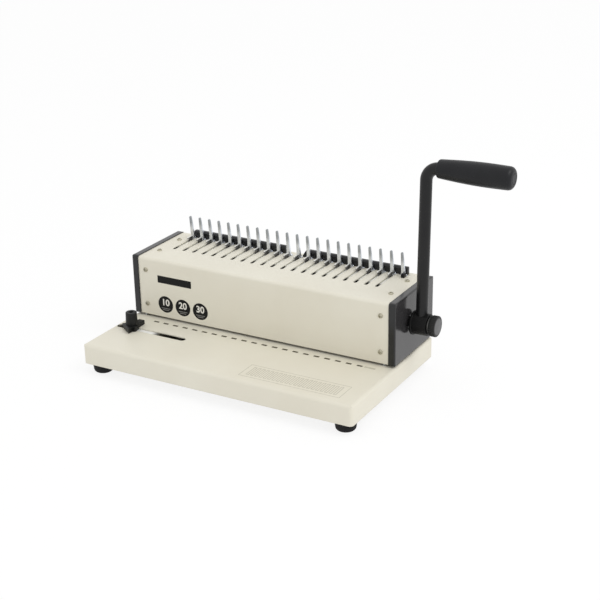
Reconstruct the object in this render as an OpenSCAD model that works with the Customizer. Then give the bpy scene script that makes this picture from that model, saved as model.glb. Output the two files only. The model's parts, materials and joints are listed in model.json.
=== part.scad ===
// Desk punch and binding machine for plastic comb rings, lever on the right end.
// Millimetres. Origin on the desk under the middle of the base, +X to the lever, +Y to the rear, +Z up.

/* [Rings] */
// Distance from one ring of the comb to the next
ring_pitch = 14.2875; // [13.8:0.05:14.6]
// Number of rings, and of punch pins
ring_count = 21; // [19:1:21]

/* [Base] */
// Width of the base pan
base_w = 367; // [360:1:400]
// Depth of the base pan
base_d = 213; // [196:1:240]
// Height of the base pan
base_h = 25; // [24:0.5:32]
// Sheet thickness of the base pan
base_t = 1.5; // [1:0.1:2]
// Outside radius of the folded top edges
base_edge_r = 4; // [2.5:0.5:6]
// Radius of the upright corners
base_corner_r = 5; // [3:0.5:10]
// Thickness of the floor sheet
floor_t = 1.2; // [0.8:0.1:2]
// How far the floor sheet sits above the pan's lower edge
floor_lift = 2; // [1:0.5:4]

/* [Feet] */
// Height of the pan's lower edge above the desk
foot_h = 13.5; // [6:0.5:16]
// Diameter of a rubber foot at its top
foot_d = 26; // [18:1:30]
// Diameter of a rubber foot where it rests
foot_rest_d = 24; // [16:1:30]
// Distance from the side of the base to a foot's middle
foot_inset_x = 16.5; // [14:0.5:20]
// Distance from the front or rear of the base to a foot's middle
foot_inset_y = 17; // [15:0.5:24]

/* [Body cover] */
// Width of the folded cover between the end caps
cover_w = 348; // [346:1:356]
// Distance from the rear of the base to the front of the cover
cover_setback = 103.4; // [101:0.2:108]
// Height of the cover's front
cover_h = 75.6; // [75:0.1:84]
// Gap under the cover that takes the paper
throat = 3; // [1.6:0.1:3]
// Sheet thickness of the cover
cover_t = 1.2; // [0.8:0.1:1.6]
// Outside radius of the cover's bends
cover_bend_r = 3.5; // [2.5:0.25:5]
// Height of the lip at the cover's rear
cover_lip_h = 13.6; // [10:0.2:18]

/* [End caps] */
// Thickness of an end cap outside the cover
cap_t = 8.7; // [7:0.1:9.4]
// How far a cap stands proud of the cover's front and top
cap_proud = 1; // [0.4:0.1:1.5]
// How far a cap reaches below the cover
cap_drop = 0.2; // [0.2:0.1:1.4]
// Wall of a cap
cap_wall = 2.5; // [1.5:0.1:3]
// Radius of a cap's upright corners
cap_corner_r = 4; // [3:0.5:6]
// Radius round a cap's outer face
cap_edge_r = 1.5; // [0.8:0.1:2]

/* [Side frames] */
// Sheet thickness of a side frame
frame_t = 2.5; // [2:0.1:3]
// Gap between a side frame and the end of the cover
frame_inset = 5; // [4:0.5:6]
// Width of a side frame's flanges
flange_w = 12; // [9:0.5:12]

/* [Fingers and hooks] */
// Height of the fingers above the deck
finger_h = 31; // [24:0.5:36]
// Width of a finger at the deck
finger_base_w = 5; // [3.6:0.1:5]
// Width of a finger at its tip
finger_tip_w = 2.4; // [2:0.1:3.4]
// Thickness of a finger
finger_t = 2.4; // [1.6:0.1:3]
// Forward lean of the fingers above the deck, in degrees
finger_lean = 8.5; // [0:0.5:10]
// Distance from the cover's rear to the fingers' rear face at the deck
finger_inset = 13.2; // [12.8:0.2:15]
// Side step from a finger to its hook
hook_step = 1; // [0.4:0.1:1.4]
// Thickness of a hook
hook_t = 2; // [1.4:0.1:2.4]
// Height of a hook above the deck
hook_h = 4.9; // [3.5:0.1:7]
// Length of a hook's nose
hook_nose = 4.5; // [3:0.1:6]
// Thickness of a hook's nose
nose_t = 2.3; // [1.5:0.1:2.6]
// Depth of a hook's stem
hook_stem = 3.8; // [3:0.1:5]
// Width of a deck slot
slot_w = 4.4; // [4:0.1:5]
// Length of a deck slot in front of the fingers
slot_len = 46.5; // [44:0.5:48]

/* [Comb rests] */
// Height of the comb rests
rest_h = 9.4; // [6:0.2:14]
// Depth of the comb rests
rest_d = 5.4; // [4:0.2:5.4]
// Gap between the fingers and the comb rests
rest_gap = 0.8; // [0.6:0.2:1]
// Left end of the left comb rest
rest_left_start = -149.7; // [-155:0.1:-140]
// Right end of the left comb rest
rest_left_end = -13.8; // [-30:0.1:-8]
// Left end of the right comb rest
rest_right_start = 11; // [8:0.1:30]
// Right end of the right comb rest
rest_right_end = 154.2; // [140:0.1:160]

/* [Lever] */
// Height of the shaft above the base top
axis_h = 44; // [43:0.25:46]
// Distance from the cover's front to the shaft
axis_setback = 40; // [39:0.25:42]
// Angle that the lever turns through, in degrees
lever_sweep = 85.94; // [70:0.01:86]
// Backward lean of the resting lever, in degrees
lever_lean = 1.9; // [0:0.1:6]
// Height of the grip above the shaft
lever_rise = 186.5; // [150:0.5:220]
// Diameter of the lever rod
rod_d = 14; // [10:0.5:15]
// Radius of the bend in the rod's middle line
bend_r = 15; // [12:0.5:24]
// Length of the grip
grip_len = 88; // [70:1:110]
// Diameter of the grip where the rod enters
grip_inner_d = 21.25; // [17:0.25:24]
// Largest diameter of the grip
grip_d = 27; // [24:0.25:32]
// Diameter of the grip before its rounded end
grip_outer_d = 26; // [22:0.25:30]
// Diameter of the hub
hub_d = 26; // [22:0.5:28]
// Length of the hub
hub_len = 20.5; // [18:0.5:25]
// Diameter of the hub's flange
hub_flange_d = 29; // [26:0.5:32]
// Diameter of the clamp knob
knob_d = 25; // [22:0.5:32]
// Length of the clamp knob
knob_len = 8; // [6:0.5:12]

/* [Shaft and drive] */
// Diameter of the main shaft
shaft_d = 12; // [10:0.5:13]
// Lift of the cams for each radian of the lever
cam_lift = 6; // [4:0.1:6.2]
// Thickness of a cam
cam_t = 10; // [6:0.5:14]
// Distance from the middle to a cam
cam_x = 90; // [80:1:98]
// Module of the rack and sector teeth
gear_module = 2; // [1.5:0.25:2]
// Thickness of a rack and of a sector gear
gear_t = 5; // [3:0.25:5]

/* [Punch] */
// Width of a punched hole
hole_w = 8; // [6:0.2:8.4]
// Depth of a punched hole
hole_d = 3; // [2.4:0.1:3.4]
// Distance from the cover's front to the punch row
punch_setback = 25.4; // [24:0.2:27]
// Distance from the paper's edge to the middle of the holes
hole_margin = 5; // [3.5:0.25:6]
// Thickness of the stripper plate
stripper_t = 6; // [4:0.25:7]
// Thickness of the punch bar
bar_t = 7.5; // [6:0.25:8]
// Thickness of the clamp plate on the punch bar
clamp_t = 6; // [4:0.25:6.5]
// Diameter of the guide posts
post_d = 8; // [6:0.5:9]

/* [Edge guide] */
// Distance from the left side of the base to the guide's knob
guide_x = 25; // [20:0.5:83.5]
// Distance from the cover's front to the guide's slot
guide_setback = 42.1; // [40:0.1:60]
// Width of the guide's slot
guide_slot_w = 9; // [7:0.25:10]
// Distance from the left side of the base to the near end of the guide's slot
guide_slot_start = 3; // [3:0.5:9.5]
// Distance from the left side of the base to the far end of the guide's slot
guide_slot_end = 104; // [98.5:0.5:123.5]
// Height of the guide's slider
guide_h = 5.75; // [3:0.25:8]
// Diameter of the guide's knob
guide_knob_d = 15; // [12:0.25:18]
// Height of the guide's knob
guide_knob_h = 15.75; // [12:0.25:22]

/* [Chip tray] */
// Width of the chip tray
tray_w = 296; // [290:1:300]
// Depth of the chip tray
tray_d = 105; // [95:1:115]
// Wall of the chip tray
tray_t = 1.5; // [1:0.1:2]
// Height of the tray's walls
tray_h = 14; // [10:0.5:14]

/* [Fits] */
// Clearance each side of a sliding piece
slide_gap = 0.2; // [0.1:0.05:0.3]
// Radial clearance of a turning fit
run_gap = 0.05; // [0.02:0.01:0.1]
// Clearance each side of a piece that is fixed in a hole
seat_gap = 0.03; // [0.01:0.01:0.06]
// Free space round a piece that passes through a hole
pass_gap = 0.3; // [0.2:0.05:0.5]

/* [Hidden] */
$fn = 64;

cream = "#E4E0D2";
charcoal = "#2E2F31";
black = "#242526";
steel = "#B9BBBC";
zinc = "#A9ACAE";
nylon = "#D9D8D2";
bronze = "#8C7A4F";

// Small amount that a cut runs past a face
over = 0.5;

// Base and body levels
base_top = foot_h + base_h;
base_in_top = base_top - base_t;
base_in_w = base_w - 2 * base_t;
base_in_d = base_d - 2 * base_t;
floor_bottom = foot_h + floor_lift;
floor_top = floor_bottom + floor_t;
cover_front = base_d / 2 - cover_setback;
cover_rear = base_d / 2;
cover_bottom = base_top + throat;
cover_top = cover_bottom + cover_h;
cover_in_front = cover_front + cover_t;
cover_in_rear = cover_rear - cover_t;
cover_in_top = cover_top - cover_t;
panel_front = cover_in_rear - cover_t;
panel_side_gap = 0.5;
sides = [-1, 1];

// Chip tray and its runners
tray_lift = 0.3;
tray_bottom = floor_top + tray_lift;
tray_top = tray_bottom + tray_h;
tray_face_gap = 0.1;
tray_rear = base_d / 2 + tray_face_gap;
tray_gap = 1.5;
tray_window_rise = 1;
runner_t = 2;
runner_gap = 0.4;
runner_h = 7;
runner_stop = 2;
face_t = 2;
face_over = 3.5;
face_rise = 3;
face_fall = 1;
pull_w = 46;
pull_d = 7;
pull_t = 2;
pull_drop = 3;
pull_lip = 6;

// Feet: the rear ones stand where their pillars clear the tray's runners
standoff_d = 10;
standoff_gap = 1;
foot_x = base_w / 2 - foot_inset_x;
rear_foot_x = tray_w / 2 + runner_gap + runner_t + standoff_gap + standoff_d / 2;
foot_y = base_d / 2 - foot_inset_y;
foot_places = [for (sx = sides) each [[sx * foot_x, -foot_y], [sx * rear_foot_x, foot_y]]];
foot_edge = 1;
foot_neck_d = 12;
foot_recess_d = 14;
foot_recess_h = 5;
foot_bolt_d = 4.8;
foot_bolt_reach = 12;
foot_head_d = 9.5;
foot_head_h = 3.2;

// Side frames: outer face, inner face, and the inner edge of the flanges
frame_out = cover_w / 2 - frame_inset;
frame_in = frame_out - frame_t;
flange_in = frame_out - flange_w;
flange_under = cover_in_top - frame_t;
front_flange_lift = 3;

// Fingers
finger_rear = cover_rear - finger_inset;
finger_front = finger_rear - finger_t;
finger_sink = 15;
finger_foot = cover_in_top - finger_sink;
finger_shoulder = 2;
finger_xs = [for (i = [0:ring_count]) (i - ring_count / 2) * ring_pitch];
hook_xs = [for (i = [0:ring_count - 1]) finger_xs[i] + hook_step];
ring_xs = [for (i = [0:ring_count - 1]) (i - (ring_count - 1) / 2) * ring_pitch];
finger_bar_d = 6;
finger_bar_drop = 2.4;
finger_bar_h = 14;
slot_tail = 0.7;
slot_front = finger_front + slot_tail - slot_len;

// Comb rests
rest_front = finger_rear + rest_gap;
rest_bevel = 1.8;
rest_slant = 5;
rest_slant_foot = 1.5;
rest_roof = 2;
rest_screw_d = 3;
rest_screw_end = 1;
rest_screw_head_d = 5;
rest_screw_head_h = 1.8;
rest_screw_inset = 20;
rest_left_screws = [rest_left_start + rest_screw_inset, rest_left_end - rest_screw_inset];
rest_right_screws = [rest_right_start + rest_screw_inset, rest_right_end - rest_screw_inset];

// Hook plate, its rails and the hooks
plate_t = 2;
plate_drop = 4.9;
plate_top = cover_in_top - plate_drop;
plate_bottom = plate_top - plate_t;
plate_gap = 0.8;
plate_rear = finger_front - plate_gap;
plate_d = 33.6;
plate_front = plate_rear - plate_d;
plate_wing = 3;
plate_edge = flange_in + plate_wing;
web_gap = 0.6;
web_side_gap = 2;
web_top = cover_in_top - web_gap;
web_edge = flange_in - web_side_gap;
rail_side_gap = 0.2;
rail_in = flange_in + rail_side_gap;
rail_wrap = plate_wing - rail_side_gap;
rail_top_gap = 0.4;
rail_top = flange_under - rail_top_gap;
rail_floor = 3;
rail_bottom = plate_bottom - rail_floor;
rail_end_gap = 0.7;
rail_front = cover_in_front + frame_t + rail_end_gap;
rail_rear = finger_rear - rail_end_gap;
hook_top = cover_top + hook_h;
hook_rear_gap = 0.2;
hook_rear = plate_rear - hook_rear_gap;
hook_front = hook_rear - hook_stem;
hook_crown_r = 1.5;

// Shaft, bushes, clip and cross pins
axis_y = cover_front + axis_setback;
axis_z = base_top + axis_h;
sweep_rad = lever_sweep * PI / 180;
shaft_edge = 1;
shaft_window_gap = 1;
bush_wall = 2;
bush_rim = 5;
bush_flange_d = shaft_d + 2 * bush_rim;
bush_flange_t = 2;
clip_t = 1;
clip_gap = 0.2;
clip_depth = 1;
clip_rim = 2.5;
clip_tail = 1.5;
shaft_left = -(frame_out + clip_gap + clip_t + clip_tail);
drive_pin_d = 3;
drive_pin_low = 1;
drive_pin_high = 3;

// Racks and sector gears
rack_body = 2;
dedendum = 1.25 * gear_module;
rack_pitch_z = plate_bottom - rack_body - dedendum;
pitch_r = rack_pitch_z - axis_z;
tooth_step = PI * gear_module;
tooth_turn = tooth_step / pitch_r * 180 / PI;
backlash = 0.16;
pressure = 20;
rack_teeth = ceil(sweep_rad * pitch_r / tooth_step) + 1;
rack_lead = 2.75;
rack_front = axis_y - rack_lead;
gear_side_gap = 2.5;
gear_in = flange_in - gear_side_gap - gear_t;
arm_step = 1.5;
sector_boss_d = 20;
sector_boss_len = 10;

// Punch stack, from the paper gap up to the shaft
stroke = cam_lift * sweep_rad;
bar_spare = 1.2;
stripper_bottom = cover_bottom;
stripper_top = stripper_bottom + stripper_t;
bar_bottom = stripper_top + stroke + bar_spare;
bar_top = bar_bottom + bar_t;
clamp_top = bar_top + clamp_t;
cam_r = axis_z - clamp_top;
punch_y = cover_front + punch_setback;
bar_lip = 6;
bar_front = punch_y - bar_lip;
cam_lip = 5.4;
bar_rear = axis_y + cam_lip;
bar_end = 1.6;
bar_half = ring_xs[ring_count - 1] + hole_w / 2 + bar_end;
pin_lift = 1;
pin_tip = stripper_bottom + pin_lift;
pin_head = 1;
pin_head_h = 2;
post_step = 28;
post_x = cam_x + post_step;
post_lead = 0.6;
post_y = axis_y - post_lead;
post_stand = 3;
post_top = clamp_top + post_stand;
post_sink = 4;
post_edge = 4;
clamp_bolt_step = 66.8;
clamp_bolt_xs = [for (k = [-2:2]) k * clamp_bolt_step];
clamp_bolt_back = 8;
clamp_bolt_y = punch_y + clamp_bolt_back;
clamp_bolt_d = 4;
clamp_bolt_foot = 1;
clamp_head_d = 7;
clamp_head_h = 3;

// Die, stripper and paper stop
die_t = 5;
die_end = 2.5;
die_half = bar_half + die_end;
die_lip_front = 12;
die_lip_rear = 14;
die_front = punch_y - die_lip_front;
die_rear = punch_y + die_lip_rear;
die_bottom = base_top - die_t;
block_end = 9;
block_half = die_half + block_end;
spacer_gap = 1;
spacer_in = die_half + spacer_gap;
stripper_rear = post_y + post_d / 2 + post_edge;
die_bolt_side = 3.5;
die_bolt_x = block_half - die_bolt_side;
die_bolt_edge = 4;
die_bolt_ys = [die_front + die_bolt_edge, die_rear - die_bolt_edge];
die_bolt_d = 4;
die_bolt_head_d = 7;
die_bolt_head_h = 2.5;
stop_front = punch_y + hole_margin;
stop_d = 5;

// Foot flanges of the side frames, behind the stripper plate
foot_flange_gap = 2;
foot_flange_stop = 4;
foot_flange_front = stripper_rear + foot_flange_gap;
foot_flange_end = panel_front - foot_flange_stop;

// Screws of the sheet pieces
screw_d = 3;
screw_head_d = 6;
screw_head_h = 1.9;
screw_rim_h = 0.85;
screw_dome_d = 4.6;
screw_dome_h = 1.6;
screw_crown_d = 3;
screw_hole_d = screw_d + 2 * run_gap;
front_screw_in = 6.5;
front_screw_low = 14.3;
front_screw_high = 59.5;
front_screw_x = flange_in + front_screw_in;
front_screw_z = [cover_bottom + front_screw_low, cover_bottom + front_screw_high];
top_screw_in = 5;
top_screw_first = 29.9;
top_screw_last = 74.1;
top_screw_x = flange_in + top_screw_in;
top_screw_y = [cover_front + top_screw_first, cover_front + top_screw_last];
rear_screw_low = 14;
rear_screw_drop = 8;
rear_screw_z = [cover_bottom + rear_screw_low, cover_top - cover_lip_h - rear_screw_drop];
frame_screw_in = 5;
frame_screw_first = 6;
frame_screw_last = 22;
frame_screw_tail = 2;

// End caps and their screws
cap_face = cover_w / 2 + cap_t;
cap_lip = 4;
cap_lip_wall = 2;
cap_boss_d = 9;
cap_boss_skin = 1;
cap_screw_front = 19.4;
cap_screw_front_rise = 20;
cap_screw_rear = 14.6;
cap_screw_rear_rise = 15;
cap_screw_top_back = 25.4;
cap_screw_top_rise = 17;

// Tie rods, and the return springs between the punch bar's lugs and the front tie rod
tie_d = 8;
tie_front_in = 11.4;
tie_front_rise = 11;
tie_front_y = cover_front + tie_front_in;
tie_front_z = axis_z + tie_front_rise;
tie_rear_back = 35.4;
tie_rear_drop = 19;
tie_rear_y = axis_y + tie_rear_back;
tie_rear_z = axis_z - tie_rear_drop;
lug_step = 20;
lug_x = cam_x + lug_step;
lug_half = 4;
lug_t = 4;
spring_d = 7;
spring_wire = 1;
spring_turns = 11;
spring_r = (spring_d - spring_wire) / 2;
spring_low = bar_top + seat_gap + spring_wire / 2;
spring_high = tie_front_z - tie_d / 2 - seat_gap - spring_wire / 2;

// Lever places along the shaft
hub_gap = 3.8;
hub_start = cap_face + hub_gap;
hub_end = hub_start + hub_len;
hub_flange_t = 3;
hub_edge = 0.8;
rod_side = 3.2;
lever_x = hub_end - rod_d / 2 - rod_side;
rod_seat_gap = 0.3;
rod_seat = shaft_d / 2 + rod_seat_gap;
washer_t = 2.3;
washer_d = 20;
washer_edge = 0.4;
knob_gap = 0.1;
knob_start = hub_end + washer_t + knob_gap;
knob_end = knob_start + knob_len;
knob_rim = 4;
knob_edge = 1;
knob_dish = 0.5;
knob_flutes = 24;
flute_r = 0.9;
flute_sink = 0.6;
stud_d = 8;
stud_cover = 2.5;
stud_end_gap = 0.4;
stud_end = knob_end - stud_cover;
grip_start = lever_x + bend_r;
grip_end = grip_start + grip_len;
grip_wall = 10;
rod_end = grip_end - grip_wall;
rod_end_gap = 0.2;
grip_round = 6;
grip_lead = 1;
grip_belly = 0.65;

// Edge guide: its slot, and its outline measured from the knob
guide_at = -base_w / 2 + guide_x;
guide_y = cover_front - guide_setback;
guide_slot_low = -base_w / 2 + guide_slot_start;
guide_slot_high = -base_w / 2 + guide_slot_end;
guide_bar_reach = 17;
guide_bar_left = -1;
guide_bar_right = 5;
guide_nib_reach = 14.5;
guide_nib_front = -5;
guide_nib_rear = 3;
guide_tail_reach = 12;
guide_tail_front = -4;
guide_tail_rear = 8;
guide_peg_step = 7;
guide_peg_d = guide_slot_w - 2 * slide_gap;
guide_floor = base_top + slide_gap;
guide_top = guide_floor + guide_h;
guide_knob_low = guide_top + slide_gap;
guide_knob_top = guide_knob_low + guide_knob_h;
guide_knob_edge = 1;
guide_knob_taper = 0.5;
guide_dimple_r = 3;
guide_dimple_h = 2.5;
guide_dimple_taper = 0.4;
guide_stud_d = 3.2;
guide_stud_gap = 0.4;
guide_bore_roof = 2;
guide_bore_top = guide_knob_top - guide_dimple_h - guide_bore_roof;
guide_plate_t = 1.8;
guide_plate_left = 9;
guide_plate_right = 40;
guide_plate_lap = 3;
guide_plate_half = guide_slot_w / 2 + guide_plate_lap;
guide_plate_top = base_in_top - slide_gap;

// Rectangle centred on the origin with round corners
module round_rect(w, d, r) {
    square([w - 2 * r, d], center = true);
    square([w, d - 2 * r], center = true);
    for (sx = sides) for (sy = sides)
        translate([sx * (w / 2 - r), sy * (d / 2 - r)]) circle(r);
}

// Rectangle standing on y = 0 with its two upper corners round
module arch_rect(w, h, r) {
    translate([-w / 2, 0]) square([w, h - r]);
    translate([-w / 2 + r, 0]) square([w - 2 * r, h]);
    for (sx = sides) translate([sx * (w / 2 - r), h - r]) circle(r);
}

// Pushes an outline drawn in (y, z) along X from x0 to x1
module along_x(x0, x1) {
    translate([x0, 0, 0]) rotate([90, 0, 90]) linear_extrude(x1 - x0) children();
}

// Pushes an outline drawn in (x, z) along Y from y0 to y1
module along_y(y0, y1) {
    translate([0, y1, 0]) rotate([90, 0, 0]) linear_extrude(y1 - y0) children();
}

// Box between two corners
module box(low, high) {
    translate(low) cube(high - low);
}

// Solid of revolution about X from points [radius, x]
module turned_x(points) {
    rotate([0, 90, 0]) rotate_extrude() polygon(points);
}

// Round bar along X
module bar_x(d, x0, x1) {
    translate([x0, 0, 0]) rotate([0, 90, 0]) cylinder(d = d, h = x1 - x0);
}

// Round bar along Y
module bar_y(d, y0, y1) {
    translate([0, y1, 0]) rotate([90, 0, 0]) cylinder(d = d, h = y1 - y0);
}

// Round bar along Z
module bar_z(d, z0, z1) {
    translate([0, 0, z0]) cylinder(d = d, h = z1 - z0);
}

// Moves children to the shaft's middle line
module on_shaft() {
    translate([0, axis_y, axis_z]) children();
}

// Draws children on the right and mirrored on the left
module both_sides() {
    children();
    mirror([1, 0, 0]) children();
}

// Block with rounded upper edges and upright corners, standing on z = 0
module pan_block(w, d, h, edge_r, corner_r) {
    intersection() {
        linear_extrude(h) round_rect(w, d, corner_r);
        along_x(-w / 2, w / 2) arch_rect(d, h, edge_r);
        along_y(-d / 2, d / 2) arch_rect(w, h, edge_r);
    }
}

// Folded base pan, open below
module base_pan() {
    color(cream) difference() {
        translate([0, 0, foot_h]) pan_block(base_w, base_d, base_h, base_edge_r, base_corner_r);
        translate([0, 0, foot_h - over])
            pan_block(base_in_w, base_in_d, base_h - base_t + over,
                base_edge_r - base_t, base_corner_r - base_t);
        box([-die_half - pass_gap, die_front - pass_gap, base_in_top - over],
            [die_half + pass_gap, die_rear + pass_gap, base_top + over]);
        guide_slot();
        box([-tray_w / 2 - tray_gap, base_in_d / 2 - over, tray_bottom - pass_gap],
            [tray_w / 2 + tray_gap, base_d / 2 + over, tray_top + tray_window_rise]);
        for (p = die_bolt_places()) translate(p)
            bar_z(die_bolt_d + 2 * run_gap, base_in_top - over, base_top + over);
        for (p = frame_screw_places())
            translate(p) bar_z(screw_hole_d, base_in_top - frame_screw_tail - over, base_top + over);
    }
}

// Slot that the edge guide slides in
module guide_slot() {
    r = guide_slot_w / 2;
    translate([0, guide_y, base_in_top - over]) linear_extrude(base_t + 2 * over) {
        translate([guide_slot_low + r, -r])
            square([guide_slot_high - guide_slot_low - guide_slot_w, guide_slot_w]);
        for (x = [guide_slot_low + r, guide_slot_high - r]) translate([x, 0]) circle(r);
    }
}

// Sheet that closes the pan from below
module base_floor() {
    color(cream) difference() {
        translate([0, 0, floor_bottom]) linear_extrude(floor_t)
            round_rect(base_in_w - 2 * pass_gap, base_in_d - 2 * pass_gap, base_corner_r - base_t);
        for (p = foot_places) translate(p)
            bar_z(foot_bolt_d + 2 * run_gap, floor_bottom - over, floor_top + over);
    }
}

// Round pillars between the floor and the top of the pan
module base_standoffs() {
    color(zinc) for (p = foot_places) translate(p) difference() {
        bar_z(standoff_d, floor_top, base_in_top);
        bar_z(foot_bolt_d + 2 * seat_gap, floor_top - over, floor_top + foot_bolt_reach + over);
    }
}

// Tapered rubber feet with a recess for the screw head and a neck up to the floor sheet
module rubber_feet() {
    bore = foot_bolt_d / 2 + run_gap;
    shoulder = foot_h - pass_gap;
    color(black) for (p = foot_places) translate(p) rotate_extrude() polygon([
        [foot_recess_d / 2, 0], [foot_rest_d / 2 - foot_edge, 0], [foot_rest_d / 2, foot_edge],
        [foot_d / 2, shoulder - foot_edge], [foot_d / 2 - foot_edge, shoulder], [foot_neck_d / 2, shoulder],
        [foot_neck_d / 2, floor_bottom], [bore, floor_bottom], [bore, foot_recess_h],
        [foot_recess_d / 2, foot_recess_h]]);
}

// Screws that hold the feet to the pillars
module foot_screws() {
    color(zinc) for (p = foot_places) translate(p) {
        bar_z(foot_bolt_d, foot_recess_h - over, floor_top + foot_bolt_reach);
        bar_z(foot_head_d, foot_recess_h - foot_head_h, foot_recess_h);
    }
}

// Folded side frame on the right: plate, front, top, rear and foot flanges
module right_side_frame() {
    color(zinc) difference() {
        union() {
            box([frame_in, cover_in_front, base_top], [frame_out, panel_front, cover_in_top - cover_bend_r]);
            box([frame_in, cover_in_front + cover_bend_r, base_top],
                [frame_out, cover_in_rear - cover_bend_r, cover_in_top]);
            box([flange_in, cover_in_front, cover_bottom + front_flange_lift],
                [frame_out, cover_in_front + frame_t, cover_in_top - cover_bend_r]);
            box([flange_in, cover_in_front + cover_bend_r, flange_under],
                [frame_out, finger_rear - pass_gap, cover_in_top]);
            box([flange_in, panel_front - frame_t, base_top + frame_t],
                [frame_out, panel_front, cover_in_top - cover_lip_h]);
            box([flange_in, foot_flange_front, base_top], [frame_out, foot_flange_end, base_top + frame_t]);
        }
        on_shaft() bar_x(shaft_d + 2 * bush_wall + 2 * seat_gap, frame_in - over, frame_out + over);
        for (p = cap_screw_places()) translate(p) bar_x(screw_hole_d, frame_in - over, frame_out + over);
        for (z = front_screw_z) translate([front_screw_x, 0, z])
            bar_y(screw_hole_d, cover_in_front - over, cover_in_front + frame_t + over);
        for (y = top_screw_y) translate([top_screw_x, y, 0])
            bar_z(screw_hole_d, flange_under - over, cover_in_top + over);
        for (z = rear_screw_z) translate([front_screw_x, 0, z])
            bar_y(screw_hole_d, panel_front - frame_t - over, panel_front + over);
        for (p = frame_screw_places()) if (p[0] > 0)
            translate(p) bar_z(screw_hole_d, base_top - over, base_top + frame_t + over);
    }
}

module left_side_frame() {
    color(zinc) mirror([1, 0, 0]) right_side_frame();
}

// Screws from the foot flanges into the base
function frame_screw_places() = [for (sx = sides) for (dy = [frame_screw_first, frame_screw_last])
    [sx * (flange_in + frame_screw_in), foot_flange_front + dy, 0]];

// Screws from the side frames into the end caps
function cap_screw_places() = [[0, cover_front + cap_screw_front, base_top + cap_screw_front_rise],
    [0, panel_front - cap_screw_rear, base_top + cap_screw_rear_rise],
    [0, axis_y + cap_screw_top_back, axis_z + cap_screw_top_rise]];

// Die screws
function die_bolt_places() = [for (sx = sides) for (y = die_bolt_ys) [sx * die_bolt_x, y, 0]];

// Cover: front, top and rear lip in one folded sheet
module cover() {
    body_d = cover_rear - cover_front;
    middle = (cover_front + cover_rear) / 2;
    color(cream) difference() {
        along_x(-cover_w / 2, cover_w / 2) difference() {
            translate([middle, cover_bottom]) arch_rect(body_d, cover_h, cover_bend_r);
            translate([middle, cover_bottom - over])
                arch_rect(body_d - 2 * cover_t, cover_h - cover_t + over, cover_bend_r - cover_t);
            translate([cover_in_rear - over, cover_bottom - over])
                square([cover_t + 2 * over, cover_h - cover_lip_h + over]);
        }
        deck_cuts();
        for (sx = sides) for (z = front_screw_z) translate([sx * front_screw_x, 0, z])
            bar_y(screw_hole_d, cover_front - over, cover_in_front + over);
        for (sx = sides) for (y = top_screw_y) translate([sx * top_screw_x, y, 0])
            bar_z(screw_hole_d, cover_in_top - over, cover_top + over);
        for (x = concat(rest_left_screws, rest_right_screws)) translate([x, rest_front + rest_d / 2, 0])
            bar_z(rest_screw_d + 2 * run_gap, cover_in_top - over, cover_top + over);
    }
}

// Slots for the hooks and holes for the fingers
module deck_cuts() {
    translate([0, 0, cover_in_top - over]) linear_extrude(cover_t + 2 * over) {
        for (x = hook_xs) translate([x, 0]) {
            translate([-slot_w / 2, slot_front + slot_w / 2])
                square([slot_w, finger_front - slot_front]);
            translate([0, slot_front + slot_w / 2]) circle(d = slot_w);
        }
        for (x = finger_xs)
            translate([x - finger_base_w / 2 - pass_gap, finger_front - pass_gap])
                square([finger_base_w + 2 * pass_gap, finger_t + 2 * pass_gap]);
    }
}

// Sheet that closes the body at the rear, behind the cover's lip
module rear_panel() {
    color(cream) difference() {
        box([-cover_w / 2 + panel_side_gap, panel_front, base_top + pass_gap],
            [cover_w / 2 - panel_side_gap, cover_in_rear, cover_in_top - cover_bend_r]);
        for (sx = sides) for (z = rear_screw_z) translate([sx * front_screw_x, 0, z])
            bar_y(screw_hole_d, panel_front - over, cover_in_rear + over);
    }
}

// Moulded right end cap: hollow, with a lip inside the cover and screw bosses
module right_end_cap() {
    x0 = cover_w / 2;
    low_y = cover_front - cap_proud;
    low_z = cover_bottom - cap_drop;
    deep_y = cover_rear - low_y;
    tall_z = cover_top + cap_proud - low_z;
    mid_y = (low_y + cover_rear) / 2;
    color(charcoal) difference() {
        union() {
            intersection() {
                along_x(x0, cap_face) translate([mid_y, low_z]) arch_rect(deep_y, tall_z, cap_corner_r);
                translate([x0, low_y, low_z]) linear_extrude(tall_z)
                    rounded_edge_plan(cap_t, deep_y, cap_edge_r);
                along_y(low_y, cover_rear) translate([x0, low_z])
                    rounded_edge_rise(cap_t, tall_z, cap_edge_r);
            }
            along_x(x0 - cap_lip, x0 + over) difference() {
                cap_hollow(0);
                cap_hollow(cap_lip_wall);
            }
            for (p = cap_screw_places()) translate(p)
                bar_x(cap_boss_d, frame_out, cap_face - cap_wall + over);
        }
        difference() {
            along_x(x0 - over, cap_face - cap_wall) cap_hollow(cap_lip_wall);
            for (p = cap_screw_places()) translate(p) bar_x(cap_boss_d, frame_out, cap_face);
        }
        for (p = cap_screw_places()) translate(p)
            bar_x(screw_d + 2 * seat_gap, frame_out - over, cap_face - cap_wall - cap_boss_skin);
        children();
    }
}

// Outline in (y, z) of the space inside the cover's end, less a wall all round
module cap_hollow(wall) {
    low = cover_in_front + pass_gap + wall;
    high = panel_front - pass_gap - wall;
    foot = cover_bottom + pass_gap + wall;
    translate([(low + high) / 2, foot])
        arch_rect(high - low, cover_in_top - pass_gap - wall - foot, cover_bend_r);
}

// Plan of the cap with its two outer corners round
module rounded_edge_plan(w, d, r) {
    square([w - r, d]);
    translate([0, r]) square([w, d - 2 * r]);
    for (y = [r, d - r]) translate([w - r, y]) circle(r);
}

// Section of the cap with its upper outer corner round
module rounded_edge_rise(w, h, r) {
    square([w - r, h]);
    square([w, h - r]);
    translate([w - r, h - r]) circle(r);
}

module left_end_cap() {
    color(charcoal) mirror([1, 0, 0]) right_end_cap();
}

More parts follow.
